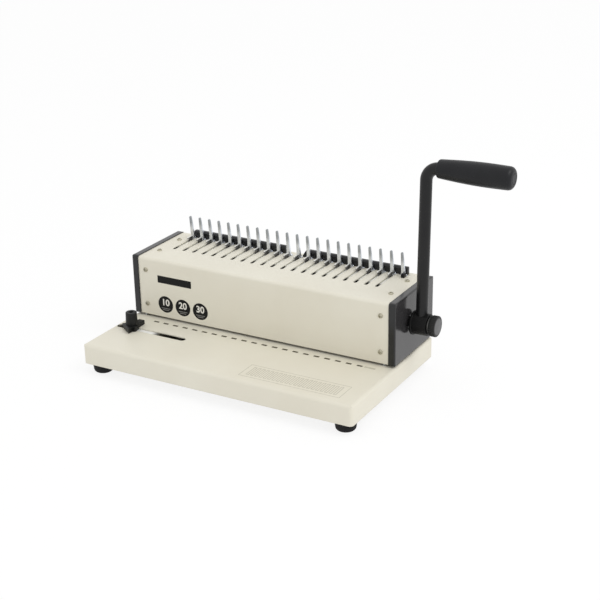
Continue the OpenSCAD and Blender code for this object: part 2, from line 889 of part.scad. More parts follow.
// Cap hole that the shaft passes through
module shaft_window() {
    on_shaft() bar_x(shaft_d + 2 * shaft_window_gap, cover_w / 2 - over, cap_face + over);
}

// Dome-headed screw with its shank up to z = 0, head under it
module pan_screw(reach) {
    translate([0, 0, -reach]) cylinder(d = screw_d, h = reach + over);
    rotate_extrude() polygon([[0, 0], [screw_head_d / 2, 0], [screw_head_d / 2, screw_rim_h],
        [screw_dome_d / 2, screw_dome_h], [screw_crown_d / 2, screw_head_h], [0, screw_head_h]]);
}

// Screws of the cover and the rear panel
module cover_screws() {
    reach = cover_t + frame_t;
    color(zinc) for (sx = sides) {
        for (z = front_screw_z) translate([sx * front_screw_x, cover_front, z])
            rotate([90, 0, 0]) pan_screw(reach);
        for (y = top_screw_y) translate([sx * top_screw_x, y, cover_top]) pan_screw(reach);
        for (z = rear_screw_z) translate([sx * front_screw_x, cover_in_rear, z])
            rotate([-90, 0, 0]) pan_screw(reach);
    }
}

// Screws from inside the side frames into the caps' bosses
module cap_screws() {
    color(zinc) both_sides() for (p = cap_screw_places())
        translate([frame_in, p[1], p[2]]) rotate([0, -90, 0]) pan_screw(frame_t + cap_t);
}

// Screws that hold the side frames down on the base
module frame_screws() {
    color(zinc) for (p = frame_screw_places())
        translate([p[0], p[1], base_top + frame_t]) pan_screw(frame_t + base_t + frame_screw_tail);
}

// Flanged bushes that carry the shaft in the side frames
module shaft_bushes() {
    bore = shaft_d / 2 + run_gap;
    sleeve = shaft_d / 2 + bush_wall;
    color(bronze) both_sides() on_shaft() turned_x([[bore, frame_in - bush_flange_t],
        [bush_flange_d / 2, frame_in - bush_flange_t], [bush_flange_d / 2, frame_in], [sleeve, frame_in],
        [sleeve, frame_out], [bore, frame_out]]);
}

// Round bars that hold the side frames apart
module tie_rods() {
    color(zinc) for (p = [[0, tie_front_y, tie_front_z], [0, tie_rear_y, tie_rear_z]])
        translate(p) bar_x(tie_d, -frame_in, frame_in);
}

// Bar behind the fingers that carries them between the side frames
module finger_bar() {
    color(zinc) box([-frame_in, finger_rear, cover_in_top - finger_bar_drop - finger_bar_h],
        [frame_in, finger_rear + finger_bar_d, cover_in_top - finger_bar_drop]);
}

// Outline of one finger in (x, z)
module finger_outline() {
    tip = cover_top + finger_h - finger_tip_w / 2;
    shoulder = cover_top + finger_shoulder;
    polygon([[-finger_base_w / 2, finger_foot], [finger_base_w / 2, finger_foot],
        [finger_base_w / 2, shoulder], [finger_tip_w / 2, tip],
        [-finger_tip_w / 2, tip], [-finger_base_w / 2, shoulder]]);
    translate([0, tip]) circle(d = finger_tip_w);
}

// Side view of the fingers in (y, z): upright through the deck, then leaning forward
module finger_profile() {
    foot = finger_foot - finger_t;
    rise = finger_h + finger_t;
    reach = rise * tan(finger_lean);
    polygon([[finger_front, foot], [finger_rear, foot], [finger_rear, cover_top],
        [finger_rear - reach, cover_top + rise], [finger_front - reach, cover_top + rise],
        [finger_front, cover_top]]);
}

// Row of fixed upright fingers that the comb is set on
module upright_fingers() {
    color(steel) for (x = finger_xs) translate([x, 0, 0]) intersection() {
        along_x(-finger_base_w, finger_base_w) finger_profile();
        along_y(finger_front - finger_h, finger_rear + finger_t) finger_outline();
    }
}

// Section of a comb rest in (y, z) with a bevelled front
module rest_section() {
    rest_top = cover_top + rest_h;
    polygon([[rest_front, cover_top], [rest_front + rest_d, cover_top], [rest_front + rest_d, rest_top],
        [rest_front + rest_bevel, rest_top], [rest_front, rest_top - rest_bevel]]);
}

// Comb rest between two places along X, with a slanted left end if slant is above 0
module comb_rest(x0, x1, slant, screws) {
    difference() {
        along_x(x0, x1) rest_section();
        if (slant > 0) along_y(rest_front - over, rest_front + rest_d + over)
            polygon([[x0 - over, cover_top + rest_slant_foot], [x0 + slant, cover_top + rest_h + over],
                [x0 - over, cover_top + rest_h + over]]);
        for (x = screws) translate([x, rest_front + rest_d / 2, 0])
            bar_z(rest_screw_d + 2 * seat_gap, cover_top - over, cover_top + rest_h - rest_roof);
    }
}

module left_comb_rest() {
    color(charcoal) comb_rest(rest_left_start, rest_left_end, 0, rest_left_screws);
}

module right_comb_rest() {
    color(charcoal) comb_rest(rest_right_start, rest_right_end, rest_slant, rest_right_screws);
}

// Screws from under the deck into the comb rests
module comb_rest_screws() {
    color(zinc) for (x = concat(rest_left_screws, rest_right_screws))
        translate([x, rest_front + rest_d / 2, 0]) {
            bar_z(rest_screw_d, cover_in_top - over, cover_top + rest_h - rest_roof - rest_screw_end);
            bar_z(rest_screw_head_d, cover_in_top - rest_screw_head_h, cover_in_top);
        }
}

// Cuts for the punch pins, with a clearance each side
module pin_cuts(gap, z0, z1) {
    for (x = ring_xs) box([x - hole_w / 2 - gap, punch_y - hole_d / 2 - gap, z0],
        [x + hole_w / 2 + gap, punch_y + hole_d / 2 + gap, z1]);
}

// Die let into the base top, with ledges under the sheet at its ends
module die_plate() {
    color(steel) difference() {
        union() {
            box([-die_half, die_front, die_bottom], [die_half, die_rear, base_top]);
            box([-block_half, die_front, die_bottom], [block_half, die_rear, base_in_top]);
        }
        pin_cuts(slide_gap, die_bottom - over, base_top + over);
        for (p = die_bolt_places()) translate(p)
            bar_z(die_bolt_d + 2 * seat_gap, die_bottom - over, base_in_top + over);
    }
}

// Shims that set the paper gap at the ends of the die
module die_spacers() {
    color(zinc) both_sides() difference() {
        box([spacer_in, die_front, base_top], [block_half, stripper_rear, stripper_bottom]);
        for (y = die_bolt_ys) translate([die_bolt_x, y, 0])
            bar_z(die_bolt_d + 2 * run_gap, base_top - over, stripper_bottom + over);
    }
}

// Strip that stops the paper's edge behind the holes
module paper_back_stop() {
    color(zinc) box([-die_half, stop_front, base_top], [die_half, stop_front + stop_d, stripper_bottom]);
}

// Plate that guides the pins and strips the paper off them
module stripper_plate() {
    color(steel) difference() {
        box([-block_half, die_front, stripper_bottom], [block_half, stripper_rear, stripper_top]);
        pin_cuts(slide_gap, stripper_bottom - over, stripper_top + over);
        for (p = die_bolt_places()) translate(p)
            bar_z(die_bolt_d + 2 * run_gap, stripper_bottom - over, stripper_top + over);
        both_sides() translate([post_x, post_y, 0])
            bar_z(post_d + 2 * seat_gap, stripper_top - post_sink, stripper_top + over);
    }
}

// Screws through stripper, spacers and base sheet into the die
module die_screws() {
    color(zinc) for (p = die_bolt_places()) translate(p) {
        bar_z(die_bolt_d, die_bottom, stripper_top + over);
        bar_z(die_bolt_head_d, stripper_top, stripper_top + die_bolt_head_h);
    }
}

// Posts that guide the punch bar
module guide_posts() {
    color(steel) both_sides() translate([post_x, post_y, 0])
        bar_z(post_d, stripper_top - post_sink, post_top);
}

// Grooved rails that carry the edges of the hook plate
module hook_rails() {
    color(nylon) both_sides() difference() {
        box([rail_in, rail_front, rail_bottom], [frame_in, rail_rear, rail_top]);
        box([rail_in - over, rail_front - over, plate_bottom - slide_gap],
            [rail_in + rail_wrap + 2 * slide_gap, rail_rear + over, plate_top + slide_gap]);
    }
}

// Strips on the floor that guide the chip tray
module tray_runners() {
    color(zinc) both_sides() box([tray_w / 2 + runner_gap, tray_rear - tray_d, floor_top],
        [tray_w / 2 + runner_gap + runner_t, base_in_d / 2 - runner_stop, floor_top + runner_h]);
}

// Point on a spring's middle line, turn counted in whole turns
function spring_at(turn) = [spring_r * cos(360 * turn), spring_r * sin(360 * turn),
    spring_low + (spring_high - spring_low) * turn / spring_turns];

// One coil spring as a tube of six sides
module coil_spring() {
    steps = 9;
    wire_sides = 6;
    rings = spring_turns * steps;
    points = [for (i = [0:rings]) let (p = spring_at(i / steps), a = 360 * i / steps)
        for (j = [0:wire_sides - 1]) let (b = 360 * j / wire_sides)
            p + spring_wire / 2 * [cos(b) * cos(a), cos(b) * sin(a), sin(b)]];
    side_faces = [for (i = [0:rings - 1]) for (j = [0:wire_sides - 1])
        let (k = (j + 1) % wire_sides, a = i * wire_sides, b = (i + 1) * wire_sides)
            each [[a + j, b + k, a + k], [a + j, b + j, b + k]]];
    first_cap = [for (j = [1:wire_sides - 2]) [0, j, j + 1]];
    last = rings * wire_sides;
    last_cap = [for (j = [1:wire_sides - 2]) [last, last + j + 1, last + j]];
    polyhedron(points, concat(side_faces, first_cap, last_cap), convexity = 10);
}

// Springs that lift the punch bar
module return_springs() {
    color(steel) both_sides() translate([lug_x, tie_front_y, 0]) coil_spring();
}

// Bar that carries the punch pins, with front lugs for the springs
module punch_bar() {
    color(steel) difference() {
        union() {
            box([-bar_half, bar_front, bar_bottom], [bar_half, bar_rear, bar_top]);
            both_sides() box([lug_x - lug_half, tie_front_y - lug_half, bar_top - lug_t],
                [lug_x + lug_half, bar_front + over, bar_top]);
        }
        pin_cuts(seat_gap, bar_bottom - over, bar_top + over);
        pin_cuts(pin_head + seat_gap, bar_top - pin_head_h - seat_gap, bar_top + over);
        both_sides() translate([post_x, post_y, 0])
            bar_z(post_d + 2 * run_gap, bar_bottom - over, bar_top + over);
        for (x = clamp_bolt_xs) translate([x, clamp_bolt_y, 0])
            bar_z(clamp_bolt_d + 2 * seat_gap, bar_bottom - over, bar_top + over);
    }
}

// Headed punch pins, one for each ring
module punch_pins() {
    color(steel) for (x = ring_xs) union() {
        box([x - hole_w / 2, punch_y - hole_d / 2, pin_tip], [x + hole_w / 2, punch_y + hole_d / 2, bar_top]);
        box([x - hole_w / 2 - pin_head, punch_y - hole_d / 2 - pin_head, bar_top - pin_head_h],
            [x + hole_w / 2 + pin_head, punch_y + hole_d / 2 + pin_head, bar_top]);
    }
}

// Plate that holds the pins down and takes the cams
module punch_clamp() {
    color(zinc) difference() {
        box([-bar_half, bar_front, bar_top], [bar_half, bar_rear, clamp_top]);
        both_sides() translate([post_x, post_y, 0])
            bar_z(post_d + 2 * run_gap, bar_top - over, clamp_top + over);
        for (x = clamp_bolt_xs) translate([x, clamp_bolt_y, 0]) {
            bar_z(clamp_bolt_d + 2 * run_gap, bar_top - over, clamp_top + over);
            bar_z(clamp_head_d + 2 * pass_gap, clamp_top - clamp_head_h, clamp_top + over);
        }
    }
}

// Screws that join the clamp plate to the bar
module clamp_screws() {
    color(zinc) for (x = clamp_bolt_xs) translate([x, clamp_bolt_y, 0]) {
        bar_z(clamp_bolt_d, bar_bottom + clamp_bolt_foot, clamp_top - clamp_head_h + over);
        bar_z(clamp_head_d, clamp_top - clamp_head_h, clamp_top - pass_gap);
    }
}

// Sliding plate: a web close under the deck, on side blocks with wings in the rails and arms over the racks
module hook_plate() {
    arm_in = gear_in + arm_step;
    color(steel) {
        box([-web_edge, plate_front, web_top - plate_t], [web_edge, plate_rear, web_top]);
        both_sides() {
            box([gear_in, plate_front, plate_bottom], [web_edge, plate_rear, web_top]);
            box([gear_in, plate_front, plate_bottom], [plate_edge, plate_rear, plate_top]);
            box([arm_in, rack_front, plate_bottom], [plate_edge, plate_front + over, plate_top]);
        }
    }
}

// Outline of one hook in (y, z): a stem with a nose to the front
module hook_outline() {
    nose_tip = hook_front - hook_nose + nose_t / 2;
    translate([hook_front, web_top]) square([hook_stem, hook_top - web_top - hook_crown_r]);
    translate([nose_tip, hook_top - nose_t]) square([hook_rear - hook_crown_r - nose_tip, nose_t]);
    translate([nose_tip, hook_top - nose_t / 2]) circle(d = nose_t);
    translate([hook_rear - hook_crown_r, hook_top - hook_crown_r]) circle(hook_crown_r);
}

// Row of hooks that stand in the deck slots
module comb_hooks() {
    color(steel) for (x = hook_xs) along_x(x - hook_t / 2, x + hook_t / 2) hook_outline();
}

// Outline of the racks in (y, z), teeth down
module rack_outline() {
    crest = rack_pitch_z - gear_module;
    root = rack_pitch_z + dedendum;
    half = tooth_step / 4 - backlash / 4;
    crest_half = half - gear_module * tan(pressure);
    root_half = half + dedendum * tan(pressure);
    translate([rack_front, root]) square([plate_rear - rack_front, plate_bottom - root]);
    for (j = [0:rack_teeth - 1]) translate([axis_y + j * tooth_step, 0])
        polygon([[-root_half, root + over], [-root_half, root], [-crest_half, crest], [crest_half, crest],
            [root_half, root], [root_half, root + over]]);
}

// Racks under the hook plate
module hook_racks() {
    color(steel) both_sides() along_x(gear_in, gear_in + gear_t) rack_outline();
}

// Main shaft with a stud for the clamp knob and a groove for the clip
module main_shaft() {
    r = shaft_d / 2;
    groove = frame_out + clip_gap;
    color(steel) on_shaft() difference() {
        turned_x([[0, shaft_left], [r - shaft_edge, shaft_left], [r, shaft_left + shaft_edge],
            [r, -groove - clip_t - seat_gap], [r - clip_depth, -groove - clip_t - seat_gap],
            [r - clip_depth, -groove + seat_gap], [r, -groove + seat_gap],
            [r, hub_end], [stud_d / 2, hub_end], [stud_d / 2, stud_end], [0, stud_end]]);
        for (x = drive_pin_xs()) translate([x, 0, 0])
            bar_z(drive_pin_d + 2 * seat_gap, -shaft_d, shaft_d);
    }
}

// Places of the cross pins along the shaft
function drive_pin_xs() = [for (x = [cam_x, gear_in - sector_boss_len / 2]) for (s = sides) s * x];

// Unwinding cam outline in (y, z): the lift grows evenly as the shaft turns
module cam_outline() {
    steps = 16;
    rise = [for (i = [0:steps]) let (turn = lever_sweep * i / steps, a = -90 - turn,
        h = cam_r + cam_lift * turn * PI / 180)
            h * [cos(a), sin(a)] - cam_lift * [-sin(a), cos(a)]];
    round_back = [for (i = [0:12]) let (a = 120 - 210 * i / 12) cam_r * [cos(a), sin(a)]];
    polygon(concat(rise, round_back));
}

// Cams that press the punch bar down
module punch_cams() {
    color(zinc) both_sides() on_shaft() difference() {
        along_x(cam_x - cam_t / 2, cam_x + cam_t / 2) cam_outline();
        bar_x(shaft_d + 2 * seat_gap, cam_x - cam_t, cam_x + cam_t);
        translate([cam_x, 0, 0]) bar_z(drive_pin_d + 2 * seat_gap, -2 * cam_r, 2 * cam_r);
    }
}

// Involute of an angle, in degrees
function involute(a) = tan(a) * 180 / PI - a;

// Half the angle of a sector tooth at radius r
function tooth_half(r) = (tooth_step / 2 - backlash / 2) / (2 * pitch_r) * 180 / PI + involute(pressure)
    - involute(acos(min(1, pitch_r * cos(pressure) / r)));

// Outline of the sector gear in (y, z), toothed from the top round to the rear
module sector_outline() {
    root_r = pitch_r - dedendum;
    crest_r = pitch_r + gear_module;
    base_r = pitch_r * cos(pressure);
    radii = [root_r, max(base_r, root_r + 0.2), pitch_r - gear_module * 0.3,
        pitch_r + gear_module * 0.35, crest_r];
    teeth = ceil(lever_sweep / tooth_turn) + 2;
    first = 90 + tooth_turn * 0.5;
    rim = [for (j = [0:teeth - 1]) let (a = first - j * tooth_turn) each concat(
        [for (r = radii) r * [cos(a + tooth_half(r)), sin(a + tooth_half(r))]],
        [for (i = [4:-1:0]) let (r = radii[i]) r * [cos(a - tooth_half(r)), sin(a - tooth_half(r))]])];
    polygon(concat([[0, 0]], rim));
    circle(d = sector_boss_d);
}

// Sector gears that drive the racks
module sector_gears() {
    boss_start = gear_in - sector_boss_len;
    color(zinc) both_sides() on_shaft() difference() {
        union() {
            along_x(gear_in, gear_in + gear_t) sector_outline();
            bar_x(sector_boss_d, boss_start, gear_in + over);
        }
        bar_x(shaft_d + 2 * seat_gap, boss_start - over, gear_in + gear_t + over);
        translate([gear_in - sector_boss_len / 2, 0, 0])
            bar_z(drive_pin_d + 2 * seat_gap, -sector_boss_d, sector_boss_d);
    }
}

// Cross pins through the cams and the sector gears
module drive_pins() {
    color(steel) on_shaft() for (x = drive_pin_xs()) translate([x, 0, 0])
        bar_z(drive_pin_d, drive_pin_low - cam_r, cam_r - drive_pin_high);
}

// Clip in the groove at the shaft's left end
module shaft_clip() {
    groove = frame_out + clip_gap;
    color(steel) on_shaft() difference() {
        bar_x(shaft_d + 2 * clip_rim, -groove - clip_t, -groove);
        bar_x(shaft_d - 2 * clip_depth + 2 * seat_gap, -groove - clip_t - over, -groove + over);
        box([-groove - clip_t - over, -shaft_d, -shaft_d],
            [-groove + over, shaft_d, -shaft_d / 2 + 2 * clip_depth]);
    }
}

// Turns children back by the lever's lean, about the shaft
module leaned() {
    on_shaft() rotate([-lever_lean, 0, 0]) children();
}

// Hub on the end of the shaft, with a flange towards the cap
module lever_hub() {
    r = hub_d / 2;
    bore = shaft_d / 2 + seat_gap;
    color(black) leaned() difference() {
        turned_x([[bore, hub_start], [hub_flange_d / 2 - hub_edge, hub_start],
            [hub_flange_d / 2, hub_start + hub_edge], [hub_flange_d / 2, hub_start + hub_flange_t],
            [r, hub_start + hub_flange_t], [r, hub_end - hub_edge], [r - hub_edge, hub_end],
            [bore, hub_end]]);
        translate([lever_x, 0, 0]) bar_z(rod_d + 2 * seat_gap, rod_seat - seat_gap, hub_d);
    }
}

// Bent lever rod
module lever_rod() {
    color(black) leaned() {
        translate([lever_x, 0, 0]) bar_z(rod_d, rod_seat, lever_rise - bend_r);
        translate([grip_start, 0, lever_rise - bend_r]) rotate([90, 0, 0]) rotate([0, 0, 90])
            rotate_extrude(angle = 90) translate([bend_r, 0]) circle(d = rod_d);
        translate([0, 0, lever_rise]) bar_x(rod_d, grip_start, rod_end);
    }
}

// Radius of the grip at a share of its length
function grip_r(t) = t < grip_belly
    ? (grip_inner_d + (grip_d - grip_inner_d) * sin(90 * t / grip_belly)) / 2
    : (grip_outer_d + (grip_d - grip_outer_d) * cos(90 * (t - grip_belly) / (1 - grip_belly))) / 2;

// Grip that swells towards its rounded outer end
module lever_grip() {
    bore = rod_d / 2 + seat_gap;
    straight = grip_len - grip_round;
    waist = [for (i = [0:12]) [grip_r(i / 12 * straight / grip_len),
        grip_start + grip_lead + (straight - grip_lead) * i / 12]];
    edge_r = grip_r(straight / grip_len);
    crown = [for (i = [1:6]) let (a = 90 * i / 6)
        [edge_r - grip_round + grip_round * cos(a), grip_end - grip_round + grip_round * sin(a)]];
    floor_x = rod_end + rod_end_gap;
    color(black) leaned() translate([0, 0, lever_rise]) turned_x(concat(
        [[bore, grip_start], [grip_r(0) - grip_lead, grip_start]], waist, crown,
        [[0, grip_end], [0, floor_x], [bore, floor_x]]));
}

// Plated washer between the hub and the knob
module knob_washer() {
    color(steel) on_shaft() turned_x([[stud_d / 2 + run_gap, hub_end], [washer_d / 2 - washer_edge, hub_end],
        [washer_d / 2, hub_end + washer_edge], [washer_d / 2, hub_end + washer_t - washer_edge],
        [washer_d / 2 - washer_edge, hub_end + washer_t], [stud_d / 2 + run_gap, hub_end + washer_t]]);
}

// Fluted knob that clamps the lever on the shaft
module clamp_knob() {
    r = knob_d / 2;
    bore = stud_d / 2 + run_gap;
    color(charcoal) on_shaft() difference() {
        turned_x([[bore, knob_start], [r - knob_edge, knob_start], [r, knob_start + knob_edge],
            [r, knob_end - knob_edge], [r - knob_edge, knob_end], [r - knob_rim, knob_end],
            [r - knob_rim - knob_dish, knob_end - knob_dish], [0, knob_end - knob_dish],
            [0, stud_end + stud_end_gap], [bore, stud_end + stud_end_gap]]);
        for (i = [0:knob_flutes - 1]) rotate([360 * i / knob_flutes, 0, 0])
            translate([0, 0, r + flute_r - flute_sink])
                bar_x(2 * flute_r, knob_start - over, knob_end + over);
    }
}

// Plan of the edge guide's slider, about its knob
module guide_plan() {
    polygon([[guide_bar_right, -guide_bar_reach], [guide_bar_right, guide_nib_front],
        [guide_nib_reach, guide_nib_front], [guide_nib_reach, guide_nib_rear],
        [guide_bar_right, guide_nib_rear], [guide_bar_right, guide_bar_reach],
        [guide_bar_left, guide_bar_reach], [guide_bar_left, guide_tail_rear],
        [-guide_tail_reach, guide_tail_front]]);
}

// Slider of the edge guide, with two pegs in the slot
module guide_slider() {
    color(black) translate([guide_at, guide_y, 0]) difference() {
        union() {
            translate([0, 0, guide_floor]) linear_extrude(guide_h) guide_plan();
            for (sx = sides) translate([sx * guide_peg_step, 0, 0])
                bar_z(guide_peg_d, base_in_top, guide_floor + over);
        }
        bar_z(guide_stud_d + 2 * run_gap, base_in_top - over, guide_top + over);
    }
}

// Clamp plate under the base sheet, seen through the slot, with a stud for the knob
module guide_plate() {
    color(steel) translate([guide_at, guide_y, 0]) {
        box([-guide_plate_left, -guide_plate_half, guide_plate_top - guide_plate_t],
            [guide_plate_right, guide_plate_half, guide_plate_top]);
        bar_z(guide_stud_d, guide_plate_top - over, guide_bore_top - guide_stud_gap);
    }
}

// Knob of the edge guide, which turns on the stud
module guide_knob() {
    r = guide_knob_d / 2;
    bore = guide_stud_d / 2 + run_gap;
    dimple = guide_knob_top - guide_dimple_h;
    color(black) translate([guide_at, guide_y, 0]) rotate_extrude() polygon([[bore, guide_knob_low],
        [r, guide_knob_low], [r - guide_knob_taper, guide_knob_top - guide_knob_edge],
        [r - guide_knob_taper - guide_knob_edge, guide_knob_top], [guide_dimple_r, guide_knob_top],
        [guide_dimple_r - guide_dimple_taper, dimple], [0, dimple],
        [0, guide_bore_top], [bore, guide_bore_top]]);
}

// Open tray for the punched chips
module chip_tray() {
    front = tray_rear - tray_d;
    color(black) difference() {
        box([-tray_w / 2, front, tray_bottom], [tray_w / 2, tray_rear, tray_top]);
        box([-tray_w / 2 + tray_t, front + tray_t, tray_bottom + tray_t],
            [tray_w / 2 - tray_t, tray_rear - tray_t, tray_top + over]);
    }
}

// Face of the chip tray at the rear, with a bent pull
module tray_face() {
    half = tray_w / 2 + face_over;
    high = tray_top + face_rise;
    face_rear = tray_rear + face_t;
    pull_top = high - pull_drop;
    pull_rear = face_rear + pull_d;
    color(black) {
        box([-half, tray_rear, tray_bottom - face_fall], [half, face_rear, high]);
        box([-pull_w / 2, face_rear - over, pull_top - pull_t], [pull_w / 2, pull_rear, pull_top]);
        box([-pull_w / 2, pull_rear - pull_t, pull_top - pull_lip], [pull_w / 2, pull_rear, pull_top]);
    }
}

base_pan();
base_floor();
base_standoffs();
rubber_feet();
foot_screws();
left_side_frame();
right_side_frame();
cover();
rear_panel();
left_end_cap();
right_end_cap() shaft_window();
cover_screws();
cap_screws();
frame_screws();
shaft_bushes();
tie_rods();
finger_bar();
upright_fingers();
left_comb_rest();
right_comb_rest();
comb_rest_screws();
die_plate();
die_spacers();
paper_back_stop();
stripper_plate();
die_screws();
guide_posts();
hook_rails();
tray_runners();
return_springs();
punch_bar();
punch_pins();
punch_clamp();
clamp_screws();
hook_plate();
comb_hooks();
hook_racks();
main_shaft();
punch_cams();
sector_gears();
drive_pins();
shaft_clip();
lever_hub();
lever_rod();
lever_grip();
knob_washer();
clamp_knob();
guide_slider();
guide_plate();
guide_knob();
chip_tray();
tray_face();
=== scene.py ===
"""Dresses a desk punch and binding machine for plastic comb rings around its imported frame.

Sizes in the classes are millimetres. Meshes are metres in the part's own frame: +X towards the lever,
+Y to the rear, +Z up, with the desk at z = 0.
"""
import json
import logging
from dataclasses import dataclass, replace
from enum import Enum
from functools import cache, partial
from math import cos, pi, radians, sin, tan
from typing import Any, Callable, Iterable, Sequence

import bmesh
import bpy
from mathutils import Matrix, Vector


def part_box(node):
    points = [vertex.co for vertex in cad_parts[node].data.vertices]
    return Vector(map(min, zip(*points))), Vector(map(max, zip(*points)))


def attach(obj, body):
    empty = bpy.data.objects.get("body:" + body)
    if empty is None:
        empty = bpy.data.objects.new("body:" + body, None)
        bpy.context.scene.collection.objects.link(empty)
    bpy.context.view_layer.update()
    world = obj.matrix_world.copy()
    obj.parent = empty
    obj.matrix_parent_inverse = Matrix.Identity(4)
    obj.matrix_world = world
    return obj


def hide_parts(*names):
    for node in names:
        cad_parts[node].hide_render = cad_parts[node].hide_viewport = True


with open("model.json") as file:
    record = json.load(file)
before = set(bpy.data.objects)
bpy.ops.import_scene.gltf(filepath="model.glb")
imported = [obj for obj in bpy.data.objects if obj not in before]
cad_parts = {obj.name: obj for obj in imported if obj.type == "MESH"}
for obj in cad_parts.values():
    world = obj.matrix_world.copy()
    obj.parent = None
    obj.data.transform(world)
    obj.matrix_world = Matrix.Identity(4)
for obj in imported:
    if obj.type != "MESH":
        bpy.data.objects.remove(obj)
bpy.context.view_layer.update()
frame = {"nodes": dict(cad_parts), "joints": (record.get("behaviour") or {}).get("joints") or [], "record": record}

SCENE = bpy.context.scene
MM = 0.001
# Rings of a plastic comb stand 9/16 inch apart, and the machine takes a comb of 21.
PITCH = 14.2875
RINGS = 21
IMAGE_PIXELS = 600
SENSOR_MM = 36.0
LOG = logging.getLogger("binding_machine")

Point = tuple[float, float]
BMesh = bmesh.types.BMesh
Adder = Callable[..., bpy.types.Node]


def box_mm(node: str) -> tuple[Vector, Vector]:
    """Gives the lower and the upper corner of a node's box in millimetres."""
    low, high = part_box(node)
    return low / MM, high / MM


DECK = box_mm("cover")[1].z
HOOK_REAR = box_mm("comb_hooks")[1].y
CLAMP_END = box_mm("guide_plate")[1].x


class Grain(Enum):
    """Relief that a process leaves on a surface, as the stretch of its pattern along X, Y and Z."""

    EVEN = (1.0, 1.0, 1.0)
    BRUSHED_X = (0.04, 1.0, 1.0)
    BRUSHED_Z = (1.0, 1.0, 0.06)


class Axis(Enum):
    """Axis of the part's frame along which a colour changes."""

    X = "X"
    Y = "Y"
    Z = "Z"


class Body(Enum):
    """Moving bodies of the machine that pieces ride on."""

    MACHINE = "machine_body"
    HOOKS = "hook_carriage"
    LEVER = "lever_assembly"
    LEVER_KNOB = "lever_knob"
    GUIDE = "edge_guide"
    GUIDE_KNOB = "edge_guide_knob"


class Facing(Enum):
    """Turn that brings a screw's head from +Z to the side it faces."""

    FRONT = Matrix.Rotation(radians(90), 4, "X")
    REAR = Matrix.Rotation(radians(-90), 4, "X")
    UP = Matrix.Identity(4)


class Flat(Enum):
    """Directions of an outline's two axes on a flat face."""

    LEVEL = ((1, 0, 0), (0, 1, 0))
    FRONT = ((1, 0, 0), (0, 0, 1))
    SIDE = ((0, 1, 0), (0, 0, 1))


def linear(code: str) -> tuple[float, ...]:
    """Turns an sRGB hex colour such as "#E4E0D2" to linear red, green and blue with an alpha of 1."""
    parts = (int(code[i:i + 2], 16) / 255 for i in (1, 3, 5))
    return *(p / 12.92 if p <= 0.04045 else ((p + 0.055) / 1.055) ** 2.4 for p in parts), 1.0


def add_node(tree: bpy.types.NodeTree, kind: str, values: dict | None = None, links: dict | None = None,
             **settings: Any) -> bpy.types.Node:
    """Adds a node with its settings, socket values and links.

    Args:
        tree: Node tree that takes the node.
        kind: Blender's name of the node type.
        values: Constant value of each input socket, by name or number.
        links: What feeds each input socket, by name or number: a socket, or a node for its first output.
        **settings: Properties of the node itself.

    Returns:
        The new node.
    """
    node = tree.nodes.new(kind)
    for name, value in settings.items():
        setattr(node, name, value)
    for key, value in (values or {}).items():
        node.inputs[key].default_value = value
    for key, source in (links or {}).items():
        socket = source.outputs[0] if isinstance(source, bpy.types.Node) else source
        tree.links.new(socket, node.inputs[key])
    return node


def fresh_nodes(owner: bpy.types.Material | bpy.types.World) -> Adder:
    """Empties the node tree of a material or a world.

    Args:
        owner: Material or world that the tree belongs to.

    Returns:
        The function that adds a node to that tree.
    """
    owner.use_nodes = True
    owner.node_tree.nodes.clear()
    return partial(add_node, owner.node_tree)


# Share of the drift noise over which the second colour comes in.
PATCH_FROM, PATCH_TO = 0.35, 0.65
# How squarely a face looks along X or up before it takes the full painted sheen.
BROAD_FROM, BROAD_TO = 0.8, 0.99
DRIFT_DETAIL, GRAIN_DETAIL = 3.0, 2.0
EDGE_SAMPLES = 4
LEAST_ROUGHNESS = 0.02


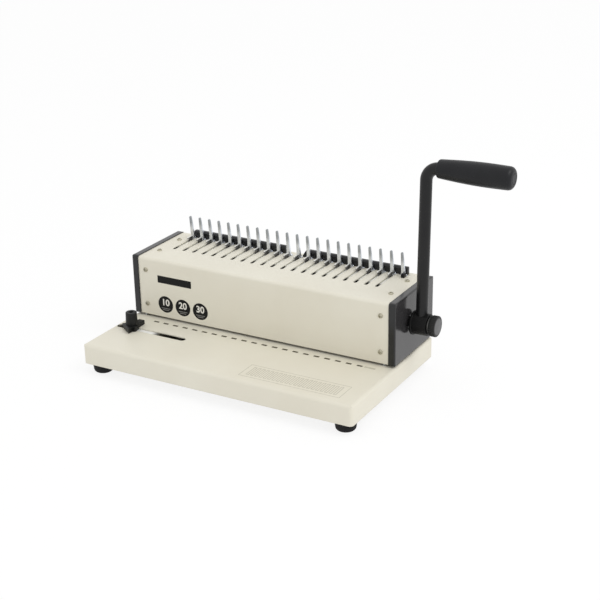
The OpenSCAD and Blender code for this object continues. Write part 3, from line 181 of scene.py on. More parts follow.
@dataclass(frozen=True)
class Finish:
    """A real surface: its material, its colours and the relief of its process.

    The colour drifts to the second one in patches of drift_mm, and the roughness wanders by the spread. The
    relief has bumps of grain_mm, relief_mm high, and edges catch the light with a radius of round_mm. A fade
    is a colour that takes over along one axis, between the two places of fade_mm. A painted sheen is a paler
    colour painted on broad faces that look along X or up, standing in for the reflection they catch. A metal
    keeps the default ior.
    """

    name: str
    colour: str
    second: str
    roughness: float
    spread: float = 0.05
    metallic: float = 0.0
    ior: float = 1.5
    specular: float = 0.5
    grain: Grain = Grain.EVEN
    grain_mm: float = 1.0
    relief_mm: float = 0.01
    drift_mm: float = 40.0
    round_mm: float = 0.3
    fade: str | None = None
    fade_axis: Axis = Axis.Z
    fade_mm: Point = (0.0, 1.0)
    # Paler colour painted on broad faces that look along X or up: a painted sheen that stands in for reflection.
    flank: str | None = None

    def like(self, name: str, colour: str, second: str, **changes: Any) -> "Finish":
        """Gives this finish under another name and in other colours, with any further changes."""
        return replace(self, name=name, colour=colour, second=second, **changes)

    @cache
    def build(self) -> bpy.types.Material:
        """Makes the material once, and gives the same one after that.

        Returns:
            The material.
        """
        material = bpy.data.materials.new(self.name)
        material.diffuse_color = linear(self.colour)
        add = fresh_nodes(material)
        spot = add("ShaderNodeTexCoord").outputs["Object"]
        along = add("ShaderNodeMapping", {"Scale": self.grain.value}, {"Vector": spot})
        drift = add("ShaderNodeTexNoise", {"Scale": 1 / (self.drift_mm * MM), "Detail": DRIFT_DETAIL},
                    {"Vector": spot})
        grain = add("ShaderNodeTexNoise", {"Scale": 1 / (self.grain_mm * MM), "Detail": GRAIN_DETAIL},
                    {"Vector": along})
        patch = add("ShaderNodeMapRange", {"From Min": PATCH_FROM, "From Max": PATCH_TO}, {"Value": drift})
        colour = add("ShaderNodeMixRGB", {"Color1": linear(self.colour), "Color2": linear(self.second)},
                     {"Fac": patch})
        edge = add("ShaderNodeBevel", {"Radius": self.round_mm * MM}, samples=EDGE_SAMPLES)
        # Painted sheen: faces whose bevelled normal looks along X or up are painted the paler colour, for the
        # reflection they catch.
        if self.flank:
            square = add("ShaderNodeSeparateXYZ", None, {"Vector": edge})
            across = add("ShaderNodeMath", None, {0: square.outputs["X"]}, operation="ABSOLUTE")
            broad = add("ShaderNodeMath", None, {0: across, 1: square.outputs["Z"]}, operation="MAXIMUM")
            side = add("ShaderNodeMapRange", {"From Min": BROAD_FROM, "From Max": BROAD_TO}, {"Value": broad})
            colour = add("ShaderNodeMixRGB", {"Color2": linear(self.flank)}, {"Fac": side, "Color1": colour})
        # A fade paints a second colour along one axis; the hooks, the fingers and the hook plate use it for
        # painted highlight and painted shade.
        if self.fade:
            axes = add("ShaderNodeSeparateXYZ", None, {"Vector": spot})
            start, end = (p * MM for p in self.fade_mm)
            climb = add("ShaderNodeMapRange", {"From Min": start, "From Max": end},
                        {"Value": axes.outputs[self.fade_axis.value]}, interpolation_type="SMOOTHSTEP")
            colour = add("ShaderNodeMixRGB", {"Color2": linear(self.fade)}, {"Fac": climb, "Color1": colour})
        least = max(LEAST_ROUGHNESS, self.roughness - self.spread)
        rough = add("ShaderNodeMapRange", {"To Min": least, "To Max": self.roughness + self.spread},
                    {"Value": grain})
        bump = add("ShaderNodeBump", {"Distance": self.relief_mm * MM}, {"Height": grain, "Normal": edge})
        shader = add("ShaderNodeBsdfPrincipled",
                     {"Metallic": self.metallic, "IOR": self.ior, "Specular IOR Level": self.specular},
                     {"Base Color": colour, "Roughness": rough, "Normal": bump})
        add("ShaderNodeOutputMaterial", None, {"Surface": shader})
        return material


# Brush marks, pores, moulded grain and ink are finer than about 0.3 mm in reality. That is too fine to
# show in the render, so all of them are drawn at 0.5 mm or more.

# Sprayed and stoved enamel on folded sheet: warm off-white, soft sheen, a faint orange peel.
# The peel is drawn at 3 mm, about twice its real size, so that it shows.
CREAM_ENAMEL = Finish(
    "cream_stoved_enamel_on_sheet_steel", "#E3DFD0", "#DFDACA", roughness=0.42, ior=1.52, grain_mm=3.0,
    relief_mm=0.012, drift_mm=90.0, round_mm=0.8)
# Injection-moulded ABS with a spark-eroded grain: near-black, with a broad soft highlight.
# The grain is drawn at 1.2 mm, about four times its real size, so that it shows.
CHARCOAL_ABS = Finish(
    "charcoal_abs_moulded", "#151617", "#1A1B1C", roughness=0.38, spread=0.08, ior=1.53, specular=0.36,
    grain_mm=1.2, relief_mm=0.02, drift_mm=30.0, round_mm=0.6)
# The same ABS, polished, on the end caps. Broad faces that look along X or up are painted greyer, a painted
# sheen for the soft reflection of their surroundings, and the rounded rims keep the dark colour.
CAP_ABS = CHARCOAL_ABS.like(
    "charcoal_abs_moulded_polished", "#101112", "#141516", roughness=0.17, spread=0.03, specular=0.44,
    relief_mm=0.004, round_mm=2.4, flank="#343334")
# Moulded nitrile rubber: matt black with a dusty bloom.
FOOT_RUBBER = Finish(
    "black_nitrile_rubber_moulded", "#121213", "#1A1A1A", roughness=0.72, spread=0.08, ior=1.52,
    specular=0.25, grain_mm=0.8, relief_mm=0.02, drift_mm=8.0, round_mm=0.8)
# Zinc-plated sheet steel: pale blue-grey metal with a cloudy passivation.
ZINC_STEEL = Finish(
    "steel_zinc_plated", "#B4B7BA", "#9EA2A8", roughness=0.36, spread=0.08, metallic=1.0,
    grain=Grain.BRUSHED_X, grain_mm=0.6, relief_mm=0.004, drift_mm=12.0, round_mm=0.25)
# Screws with a thick, matt zinc-nickel plating: warm pale grey, no clear reflection.
SCREW_STEEL = Finish(
    "steel_zinc_nickel_plated_matt", "#C6C2B0", "#B4B09F", roughness=0.55, spread=0.06, metallic=1.0,
    grain_mm=0.5, relief_mm=0.004, drift_mm=3.0, round_mm=0.2)
# Nickel-plated ground steel: bright warm grey metal with fine grinding lines.
NICKEL_STEEL = ZINC_STEEL.like(
    "steel_nickel_plated_ground", "#C9C8C3", "#B9B8B4", roughness=0.26, spread=0.06, grain_mm=0.5,
    relief_mm=0.003, drift_mm=15.0, round_mm=0.3)
# Zinc-plated, blue-passivated fingers: painted pale at the deck as a painted highlight, and greyer towards the
# tips.
FINGER_STEEL = ZINC_STEEL.like(
    "steel_zinc_plated_blue_passivated", "#ECF0F6", "#DCE0E8", roughness=0.34, grain=Grain.BRUSHED_Z,
    relief_mm=0.006, drift_mm=6.0, round_mm=0.4, fade="#A0A4A8", fade_mm=(DECK + 13.0, DECK + 25.0))
# Dark grey spring steel; the pale band along the top of each hook is a painted highlight.
HOOK_STEEL = ZINC_STEEL.like(
    "steel_dark_grey_with_painted_highlight", "#727274", "#5E5E60", grain_mm=0.5, drift_mm=4.0, round_mm=0.3,
    fade="#E6E5E0", fade_mm=(DECK + 3.4, DECK + 4.6))
# Zinc-plated hook plate, seen through the deck slots: painted near-black in front as painted shade in the slots,
# and painted pale further back, where the hooks stand, as a painted highlight.
PLATE_STEEL = ZINC_STEEL.like(
    "steel_zinc_plated_painted_shade_and_highlight", "#121211", "#1A1A18", roughness=0.55, spread=0.06, fade="#F0F0EC",
    fade_axis=Axis.Y, fade_mm=(HOOK_REAR - 36.0, HOOK_REAR - 27.0))
# Zinc-plated clamp plate of the edge guide: dull silver painted near-white as a painted highlight, and darker
# towards its right end.
CLAMP_STEEL = PLATE_STEEL.like(
    "steel_zinc_plated_dull", "#FAFAF8", "#F2F2F0", roughness=0.85, fade="#5C5A50", fade_axis=Axis.X,
    fade_mm=(CLAMP_END - 12.0, CLAMP_END))
# Phosphated washer: dark dull grey metal.
WASHER_STEEL = SCREW_STEEL.like(
    "steel_phosphated", "#6A6A68", "#5C5C5A", roughness=0.5, relief_mm=0.006, drift_mm=6.0, round_mm=0.3)
# Blackened steel: dull near-black, as on a shaft dipped hot in oxide salts.
BLACK_OXIDE_STEEL = ZINC_STEEL.like(
    "steel_black_oxide", "#2A2A2B", "#232324", roughness=0.45, spread=0.06, drift_mm=8.0, round_mm=0.3)
# Sintered bronze: brown-gold metal with open pores.
SINTERED_BRONZE = Finish(
    "bronze_sintered", "#9C7B4E", "#86673E", roughness=0.45, spread=0.1, metallic=1.0, grain_mm=0.5,
    relief_mm=0.02, drift_mm=5.0)
# Natural nylon, machined: milky white, waxy.
NATURAL_NYLON = Finish(
    "nylon_natural_machined", "#DCDAD0", "#D2CFC3", roughness=0.4, ior=1.53, grain=Grain.BRUSHED_X,
    grain_mm=0.8, drift_mm=20.0)
# Sprayed semi-gloss enamel on steel bar: black with a long clean highlight.
BLACK_ENAMEL = Finish(
    "black_enamel_on_steel_bar", "#111112", "#151516", roughness=0.34, ior=1.52, specular=0.3, grain_mm=2.5,
    relief_mm=0.008, drift_mm=25.0, round_mm=0.5)
# The same enamel on the turned hub, flatter: it takes the light without a clear highlight.
HUB_ENAMEL = BLACK_ENAMEL.like(
    "black_flat_enamel_on_turned_steel", "#0B0B0B", "#0F0F0F", roughness=0.45, specular=0.16)
# Moulded polypropylene grip: cool black, satin, with a faint bloom.
GRIP_PLASTIC = Finish(
    "black_polypropylene_grip_moulded", "#121316", "#17181B", roughness=0.42, spread=0.07, ior=1.49,
    specular=0.3, relief_mm=0.012, drift_mm=18.0, round_mm=0.5)
# Moulded ABS for small pieces: black, half matt.
BLACK_ABS = Finish(
    "black_abs_moulded", "#101111", "#151615", roughness=0.45, spread=0.08, ior=1.53, specular=0.28,
    grain_mm=0.9, relief_mm=0.015, drift_mm=12.0, round_mm=0.4)
# Turned face of the clamp knob: the same ABS, greyed by fine turning marks.
KNOB_FACE_ABS = Finish(
    "grey_abs_turned_face", "#5F5F60", "#575758", roughness=0.5, spread=0.06, ior=1.53,
    grain=Grain.BRUSHED_Z, grain_mm=0.7, relief_mm=0.008, drift_mm=10.0)
# Screen-print inks: flat and dry, thinner in places.
WHITE_INK = Finish(
    "white_screen_ink", "#E9E7DF", "#E0DED6", roughness=0.6, grain_mm=0.6, relief_mm=0.002, drift_mm=4.0,
    round_mm=0.02)
GREY_INK = WHITE_INK.like("grey_screen_ink", "#B9B5A4", "#C4C0B0")
DIM_INK = WHITE_INK.like("thinned_white_screen_ink", "#7C7B78", "#6E6D6A", drift_mm=3.0)
OLIVE_INK = WHITE_INK.like("olive_screen_ink", "#453F2F", "#524C3A", specular=0.3)
BLACK_INK = WHITE_INK.like("black_screen_ink", "#101010", "#161615", specular=0.2, drift_mm=5.0)

SLOT_FINISH = {
    "cream_enamel": CREAM_ENAMEL, "charcoal_plastic": CHARCOAL_ABS, "foot_rubber": FOOT_RUBBER,
    "zinc_steel": ZINC_STEEL, "bright_steel": NICKEL_STEEL, "bronze_bush": SINTERED_BRONZE,
    "nylon": NATURAL_NYLON, "black_enamel": BLACK_ENAMEL, "grip_plastic": GRIP_PLASTIC,
    "black_plastic": BLACK_ABS}


def lathe(bm: BMesh, profile: Sequence[Point], at: Matrix, turns: int = 64) -> None:
    """Adds a solid of revolution about the local Z axis.

    Args:
        bm: Mesh that takes the faces.
        profile: Points of radius and height in millimetres, from the lower middle round to the upper middle.
        at: Place of the local axes in the part's frame.
        turns: Number of flat faces round the axis.
    """
    rings = []
    for radius, height in profile:
        count = turns if radius > 0.0 else 1
        angles = [2 * pi * k / turns for k in range(count)]
        rings.append([bm.verts.new(at @ Vector((radius * cos(a) * MM, radius * sin(a) * MM,
                                                height * MM))) for a in angles])
    for low, high in zip(rings, rings[1:]):
        for k in range(turns):
            after = (k + 1) % turns
            corners = [low[k % len(low)], low[after % len(low)], high[after % len(high)], high[k % len(high)]]
            kept = [v for i, v in enumerate(corners) if v not in corners[:i]]
            if len(kept) > 2:
                bm.faces.new(kept)


def prism(bm: BMesh, outline: Sequence[Point], depth: float, at: Matrix, rim: float = 0.0) -> None:
    """Adds an outline pushed along the local Z axis, with softened rims.

    Args:
        bm: Mesh that takes the faces.
        outline: Points in millimetres, in order round the outline.
        depth: Length along Z in millimetres.
        at: Place of the local axes in the part's frame.
        rim: Width of the softened rims in millimetres, or 0 for sharp ones.
    """
    low = [bm.verts.new(at @ Vector((x * MM, y * MM, 0.0))) for x, y in outline]
    high = [bm.verts.new(at @ Vector((x * MM, y * MM, depth * MM))) for x, y in outline]
    ends = [bm.faces.new(low[::-1]), bm.faces.new(high)]
    for k in range(len(outline)):
        after = (k + 1) % len(outline)
        bm.faces.new([low[k], low[after], high[after], high[k]])
    if rim:
        edges = list({edge for face in ends for edge in face.edges})
        bmesh.ops.bevel(bm, geom=edges, offset=rim * MM, segments=2, profile=0.6, affect="EDGES")


def skin(bm: BMesh, rings: Sequence[Sequence[bmesh.types.BMVert]]) -> None:
    """Joins rings of points by faces and closes both ends.

    Args:
        bm: Mesh that holds the points and takes the faces.
        rings: Rings in order, all with the same number of points.
    """
    count = len(rings[0])
    for low, high in zip(rings, rings[1:]):
        for k in range(count):
            after = (k + 1) % count
            bm.faces.new([low[k], low[after], high[after], high[k]])
    bm.faces.new(rings[0][::-1])
    bm.faces.new(rings[-1])


def tube(bm: BMesh, path: Sequence[Vector], radius: float, side: Vector, sections: int = 40) -> None:
    """Adds a round bar swept along a path that lies in one plane.

    Args:
        bm: Mesh that takes the faces.
        path: Points of the middle line in metres.
        radius: Radius of the bar in millimetres.
        side: Unit vector square to the plane of the path.
        sections: Number of flat faces round the bar.
    """
    angles = [2 * pi * j / sections for j in range(sections)]
    rings = []
    for k, point in enumerate(path):
        ahead = (path[min(k + 1, len(path) - 1)] - path[max(k - 1, 0)]).normalized()
        across = ahead.cross(side).normalized()
        rings.append([bm.verts.new(point + radius * MM * (cos(a) * across + sin(a) * side))
                      for a in angles])
    skin(bm, rings)


def arc(middle: Point, radius: float, start: float, end: float, steps: int = 8) -> list[Point]:
    """Gives points along an arc from one angle in degrees to another, with both ends."""
    angles = (radians(start + (end - start) * k / steps) for k in range(steps + 1))
    return [(middle[0] + radius * cos(a), middle[1] + radius * sin(a)) for a in angles]


def plane_at(origin: Sequence[float], flat: Flat) -> Matrix:
    """Gives local axes for an outline drawn on a flat face.

    Args:
        origin: Place of the outline's origin in millimetres.
        flat: Directions of the outline's axes.

    Returns:
        Matrix whose Z axis is square to the face.
    """
    x_axis, y_axis = map(Vector, flat.value)
    at = Matrix((x_axis, y_axis, x_axis.cross(y_axis))).transposed().to_4x4()
    at.translation = Vector(origin) * MM
    return at


def stored(name: str, bm: BMesh) -> bpy.types.Mesh:
    """Turns a working mesh into a stored one whose faces look outwards, and frees it.

    Args:
        name: Name of the stored mesh.
        bm: Working mesh.

    Returns:
        The stored mesh.
    """
    bmesh.ops.recalc_face_normals(bm, faces=bm.faces)
    mesh = bpy.data.meshes.new(name)
    bm.to_mesh(mesh)
    bm.free()
    return mesh


def put(data: bpy.types.ID) -> bpy.types.Object:
    """Puts a mesh, a text, a lamp or a camera into the scene.

    Args:
        data: What the object holds, which gives it its name too.

    Returns:
        The object.
    """
    thing = bpy.data.objects.new(data.name, data)
    SCENE.collection.objects.link(thing)
    return thing


def carved(solid: bpy.types.Mesh, tool: bpy.types.Mesh) -> bpy.types.Mesh:
    """Cuts one closed mesh out of another.

    Args:
        solid: Mesh that is cut.
        tool: Mesh of the space that is cut away.

    Returns:
        The cut mesh.
    """
    pair = [put(solid), put(tool)]
    cut = pair[0].modifiers.new("cut", "BOOLEAN")
    cut.operation = "DIFFERENCE"
    cut.object = pair[1]
    ready = pair[0].evaluated_get(bpy.context.evaluated_depsgraph_get())
    result = bpy.data.meshes.new_from_object(ready)
    for thing in pair:
        bpy.data.objects.remove(thing)
    return result


def place(name: str, bm: BMesh, finish: Finish, body: Body,
          replaces: Iterable[str] = (), sharp: float = 32.0) -> None:
    """Turns a mesh into a piece that rides on a body.

    Args:
        name: Name of the piece.
        bm: Mesh of the piece, freed here.
        finish: Surface of the piece.
        body: Body that it moves with.
        replaces: Nodes of the frame that it stands for.
        sharp: Angle in degrees above which an edge stays sharp.
    """
    mesh = stored(name, bm)
    mesh.shade_smooth()
    mesh.set_sharp_from_angle(angle=radians(sharp))
    mesh.materials.append(finish.build())
    piece = put(mesh)
    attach(piece, body.value)
    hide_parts(*replaces)
    LOG.info("made %s with %d faces for %s", name, len(mesh.polygons), ", ".join(replaces) or "the surface")


def dress(names: Iterable[str], finish: Finish | None = None) -> None:
    """Gives nodes of the frame their finish.

    Args:
        names: Nodes that stay as they are.
        finish: Surface for all of them, or None for the one of each node's slot.
    """
    slots = {part["node"]: part["material_slot"] for part in frame["record"]["subparts"]}
    for name in names:
        chosen = finish or SLOT_FINISH[slots[name]]
        mesh = frame["nodes"][name].data
        mesh.materials.clear()
        mesh.materials.append(chosen.build())
        LOG.info("dressed %s with %s", name, chosen.name)


@dataclass
class BaseUnit:
    """Folded base pan with its floor, feet, pillars, chip tray and runners."""

    rear_foot_inset: float = 10.6
    foot_gap: float = 0.3
    foot_rest_d: float = 24.0
    foot_d: float = 26.0
    foot_round: float = 4.2
    foot_top_round: float = 0.8
    foot_draft_deg: float = 4.0
    recess_d: float = 14.0
    recess_h: float = 5.0

    def build(self) -> None:
        """Dresses the sheet and tray pieces and makes the feet."""
        dress(["base_pan", "base_floor", "base_standoffs", "foot_screws", "tray_runners", "chip_tray",
               "tray_face"])
        self.make_feet()

    def make_feet(self) -> None:
        """Makes four turned feet with rounded rims and a recess for the screw."""
        rest, top, soft, lip = self.foot_rest_d / 2, self.foot_d / 2, self.foot_round, self.foot_top_round
        draft = -self.foot_draft_deg
        corner = box_mm("rubber_feet")[1]
        front_x, rear_y = corner.x - top, corner.y - top
        height = box_mm("base_pan")[0].z - self.foot_gap
        profile = [(0.0, self.recess_h), (self.recess_d / 2, self.recess_h), (self.recess_d / 2, 0.0)]
        profile += arc((rest - soft, soft), soft, -90, draft)
        profile += arc((top - lip, height - lip), lip, draft, 90, steps=6) + [(0.0, height)]
        bm = bmesh.new()
        for side in (-1, 1):
            for x, y in ((front_x, -rear_y), (front_x - self.rear_foot_inset, rear_y)):
                lathe(bm, profile, Matrix.Translation((side * x * MM, y * MM, 0.0)), turns=48)
        place("rubber_feet_turned", bm, FOOT_RUBBER, Body.MACHINE, ["rubber_feet"])


@dataclass
class BodyShell:
    """Cover, rear panel, end caps and side frames, with the screws of the sheet."""

    head_d: float = 6.0
    head_h: float = 1.9
    head_rim: float = 0.35
    crown_steps: int = 12
    cross_len: float = 4.2
    cross_w: float = 1.2
    cross_depth: float = 1.3
    front_inset: float = 10.5
    front_up: Point = (14.3, 59.5)
    top_inset: float = 12.0
    top_back: Point = (29.9, 74.1)
    rear_up: Point = (14.0, 54.0)
    shank_d: float = 3.0
    shank_len: float = 3.7

    def build(self) -> None:
        """Dresses the shell and makes its screws."""
        dress(["cover", "rear_panel", "left_side_frame", "right_side_frame", "cap_screws", "frame_screws",
               "tie_rods", "shaft_bushes"])
        dress(["left_end_cap", "right_end_cap"], CAP_ABS)
        low, high = box_mm("cover")
        rear = box_mm("rear_panel")[1].y
        side_x, top_x = high.x - self.front_inset, high.x - self.top_inset
        fronts = [(side_x, low.y, low.z + up) for up in self.front_up]
        self.make_screws("cover_screws_front", Facing.FRONT, fronts, ["cover_screws"])
        tops = [(top_x, low.y + back, high.z) for back in self.top_back]
        self.make_screws("cover_screws_top", Facing.UP, tops)
        rears = [(side_x, rear, low.z + up) for up in self.rear_up]
        self.make_screws("cover_screws_rear", Facing.REAR, rears)

    def screw_mesh(self) -> bpy.types.Mesh:
        """Makes one dome-headed screw with a cross recess, its head on z = 0.

        Returns:
            Mesh of the screw.
        """
        r, h, shank, rim = self.head_d / 2, self.head_h, self.shank_d / 2, self.head_rim
        angles = [radians(90 / self.crown_steps * k) for k in range(self.crown_steps)]
        profile = [(0.0, -self.shank_len), (shank, -self.shank_len), (shank, 0.0), (r, 0.0)]
        profile += [(r * cos(a), h * (rim + (1 - rim) * sin(a))) for a in angles] + [(0.0, h)]
        head, recess = bmesh.new(), bmesh.new()
        lathe(head, profile, Matrix.Identity(4), turns=32)
        long, wide = self.cross_len / 2, self.cross_w / 2
        cross, arm = [], [(wide, wide), (long, wide), (long, -wide)]
        for _ in range(4):
            cross += arm
            arm = [(y, -x) for x, y in arm]
        prism(recess, cross, h, Matrix.Translation((0.0, 0.0, (h - self.cross_depth) * MM)))
        return carved(stored("screw_head", head), stored("screw_recess", recess))

    def make_screws(self, name: str, facing: Facing, places: Sequence[Sequence[float]],
                    replaces: Sequence[str] = ()) -> None:
        """Makes a set of screws that face one way, the same on the left and the right.

        Args:
            name: Name of the piece.
            facing: Side that the heads face.
            places: Middle of the seat of each right-hand head, in millimetres.
            replaces: Nodes that the set stands for.
        """
        one = self.screw_mesh()
        bm = bmesh.new()
        for side in (-1, 1):
            for x, y, z in places:
                copy = one.copy()
                copy.transform(Matrix.Translation(Vector((side * x, y, z)) * MM) @ facing.value)
                bm.from_mesh(copy)
                bpy.data.meshes.remove(copy)
        place(name, bm, SCREW_STEEL, Body.MACHINE, replaces)


@dataclass
class FingerRow:
    """Upright fingers, opening hooks with their plate, and the comb rests behind them."""

    base_w: float = 5.0
    tip_w: float = 2.4
    finger_t: float = 2.4
    finger_lean: float = 8.5
    flare_r: float = 2.2
    flare_lip: float = 0.4
    flare_lift: float = 0.05
    finger_rim: float = 0.3
    hook_step: float = 1.0
    hook_t: float = 2.0
    hook_rim: float = 0.3
    hook_rear_gap: float = 2.0
    hook_stem: float = 6.3
    nose: float = 4.5
    nose_t: float = 2.3
    stop_w: float = 4.0
    stop_d: float = 6.0
    stop_step: float = 2.4
    crown_r: float = 1.5
    rest_bevel: float = 1.8
    rest_slant: float = 5.0
    rest_slant_foot: float = 1.5
    rest_rim: float = 0.4

    def build(self) -> None:
        """Dresses the hidden carriers and makes the pieces on the deck."""
        dress(["finger_bar", "comb_rest_screws", "hook_rails", "hook_racks"])
        # The hook plate's finish paints shade at the front of the slots and a highlight behind it.
        dress(["hook_plate"], PLATE_STEEL)
        self.make_fingers()
        self.make_hooks()
        self.make_end_stop()
        self.make_rest("left_comb_rest", slanted=False)
        self.make_rest("right_comb_rest", slanted=True)

    def make_fingers(self) -> None:
        """Makes the row of tapered fingers, flared at the deck and leaning forward above it."""
        low, high = box_mm("upright_fingers")
        base, flare, seat, tip_r = self.base_w / 2, self.flare_r, DECK + self.flare_lift, self.tip_w / 2
        right = [(base, low.z), (base, seat), (base + flare, seat)]
        right += arc((base + flare, seat + self.flare_lip + flare), flare, 270, 180, steps=6)
        left = [(-x, z) for x, z in reversed(right)]
        outline = right + arc((0.0, high.z - tip_r), tip_r, 0, 180, steps=10) + left
        bm = bmesh.new()
        for k in range(RINGS + 1):
            spot = ((k - RINGS / 2) * PITCH, high.y, 0.0)
            prism(bm, outline, self.finger_t, plane_at(spot, Flat.FRONT), self.finger_rim)
        slope = tan(radians(self.finger_lean))
        for vert in bm.verts:
            vert.co.y -= slope * max(0.0, vert.co.z - DECK * MM)
        place("upright_fingers_plated", bm, FINGER_STEEL, Body.MACHINE, ["upright_fingers"])

    def make_hooks(self) -> None:
        """Makes the row of hooks, each a stem with a nose to the front."""
        low, high = box_mm("comb_hooks")
        rear, crown, nose_r = high.y - self.hook_rear_gap, self.crown_r, self.nose_t / 2
        front = rear - self.hook_stem
        outline = [(rear, low.z)] + arc((rear - crown, high.z - crown), crown, 0, 90, steps=6)
        outline += arc((front - self.nose + nose_r, high.z - nose_r), nose_r, 90, 270)
        outline += [(front, high.z - self.nose_t), (front, low.z)]
        bm = bmesh.new()
        for k in range(RINGS):
            spot = ((k - RINGS / 2) * PITCH + self.hook_step - self.hook_t / 2, 0.0, 0.0)
            prism(bm, outline, self.hook_t, plane_at(spot, Flat.SIDE), self.hook_rim)
        # The hooks' finish paints a highlight along their tops.
        place("comb_hooks_with_painted_highlight", bm, HOOK_STEEL, Body.HOOKS, ["comb_hooks"])

    def make_end_stop(self) -> None:
        """Makes the fixed stop on the deck in front of the last finger, for the end of a comb."""
        top, crown, front = box_mm("comb_hooks")[1].z, self.crown_r, HOOK_REAR - self.stop_d
        outline = [(HOOK_REAR, DECK)] + arc((HOOK_REAR - crown, top - crown), crown, 0, 90, steps=6)
        outline += arc((front + crown, top - crown), crown, 90, 180, steps=6) + [(front, DECK)]
        bm = bmesh.new()
        spot = (RINGS / 2 * PITCH + self.stop_step - self.stop_w / 2, 0.0, 0.0)
        prism(bm, outline, self.stop_w, plane_at(spot, Flat.SIDE), self.hook_rim)
        place("end_stop_blackened", bm, BLACK_OXIDE_STEEL, Body.MACHINE)

    def make_rest(self, node: str, slanted: bool) -> None:
        """Makes one comb rest: a bevelled bar, with a slanted left end if asked.

        Args:
            node: Node that the bar stands for.
            slanted: Whether its left end slants.
        """
        low, high = box_mm(node)
        cut = self.rest_bevel
        section = [(low.y, low.z), (high.y, low.z), (high.y, high.z), (low.y + cut, high.z),
                   (low.y, high.z - cut)]
        bm = bmesh.new()
        prism(bm, section, high.x - low.x, plane_at((low.x, 0.0, 0.0), Flat.SIDE), self.rest_rim)
        if slanted:
            foot = Vector((low.x, 0.0, low.z + self.rest_slant_foot)) * MM
            square = Vector((self.rest_slant_foot - (high.z - low.z), 0.0, self.rest_slant)).normalized()
            cut_off = bmesh.ops.bisect_plane(bm, geom=bm.verts[:] + bm.edges[:] + bm.faces[:], plane_co=foot,
                                             plane_no=square, clear_outer=True)
            rim = [e for e in cut_off["geom_cut"] if isinstance(e, bmesh.types.BMEdge)]
            bmesh.ops.contextual_create(bm, geom=rim)
        place(node + "_moulded", bm, CHARCOAL_ABS, Body.MACHINE, [node])


@dataclass
class PunchWorks:
    """Punch row, die, shaft, cams and sector gears inside the body."""

    nodes: tuple[str, ...] = (
        "die_plate", "die_spacers", "paper_back_stop", "stripper_plate", "die_screws", "guide_posts",
        "return_springs", "punch_bar", "punch_pins", "punch_clamp", "clamp_screws", "punch_cams",
        "sector_gears", "drive_pins", "shaft_clip")

    def build(self) -> None:
        """Dresses the works, which stay as the frame has them."""
        dress(self.nodes)
        # Blackened steel instead of its bright slot is a plausible real finish. It is chosen so that the shaft
        # keeps the gap between hub and cap dark, which is painted shade.
        dress(["main_shaft"], BLACK_OXIDE_STEEL)


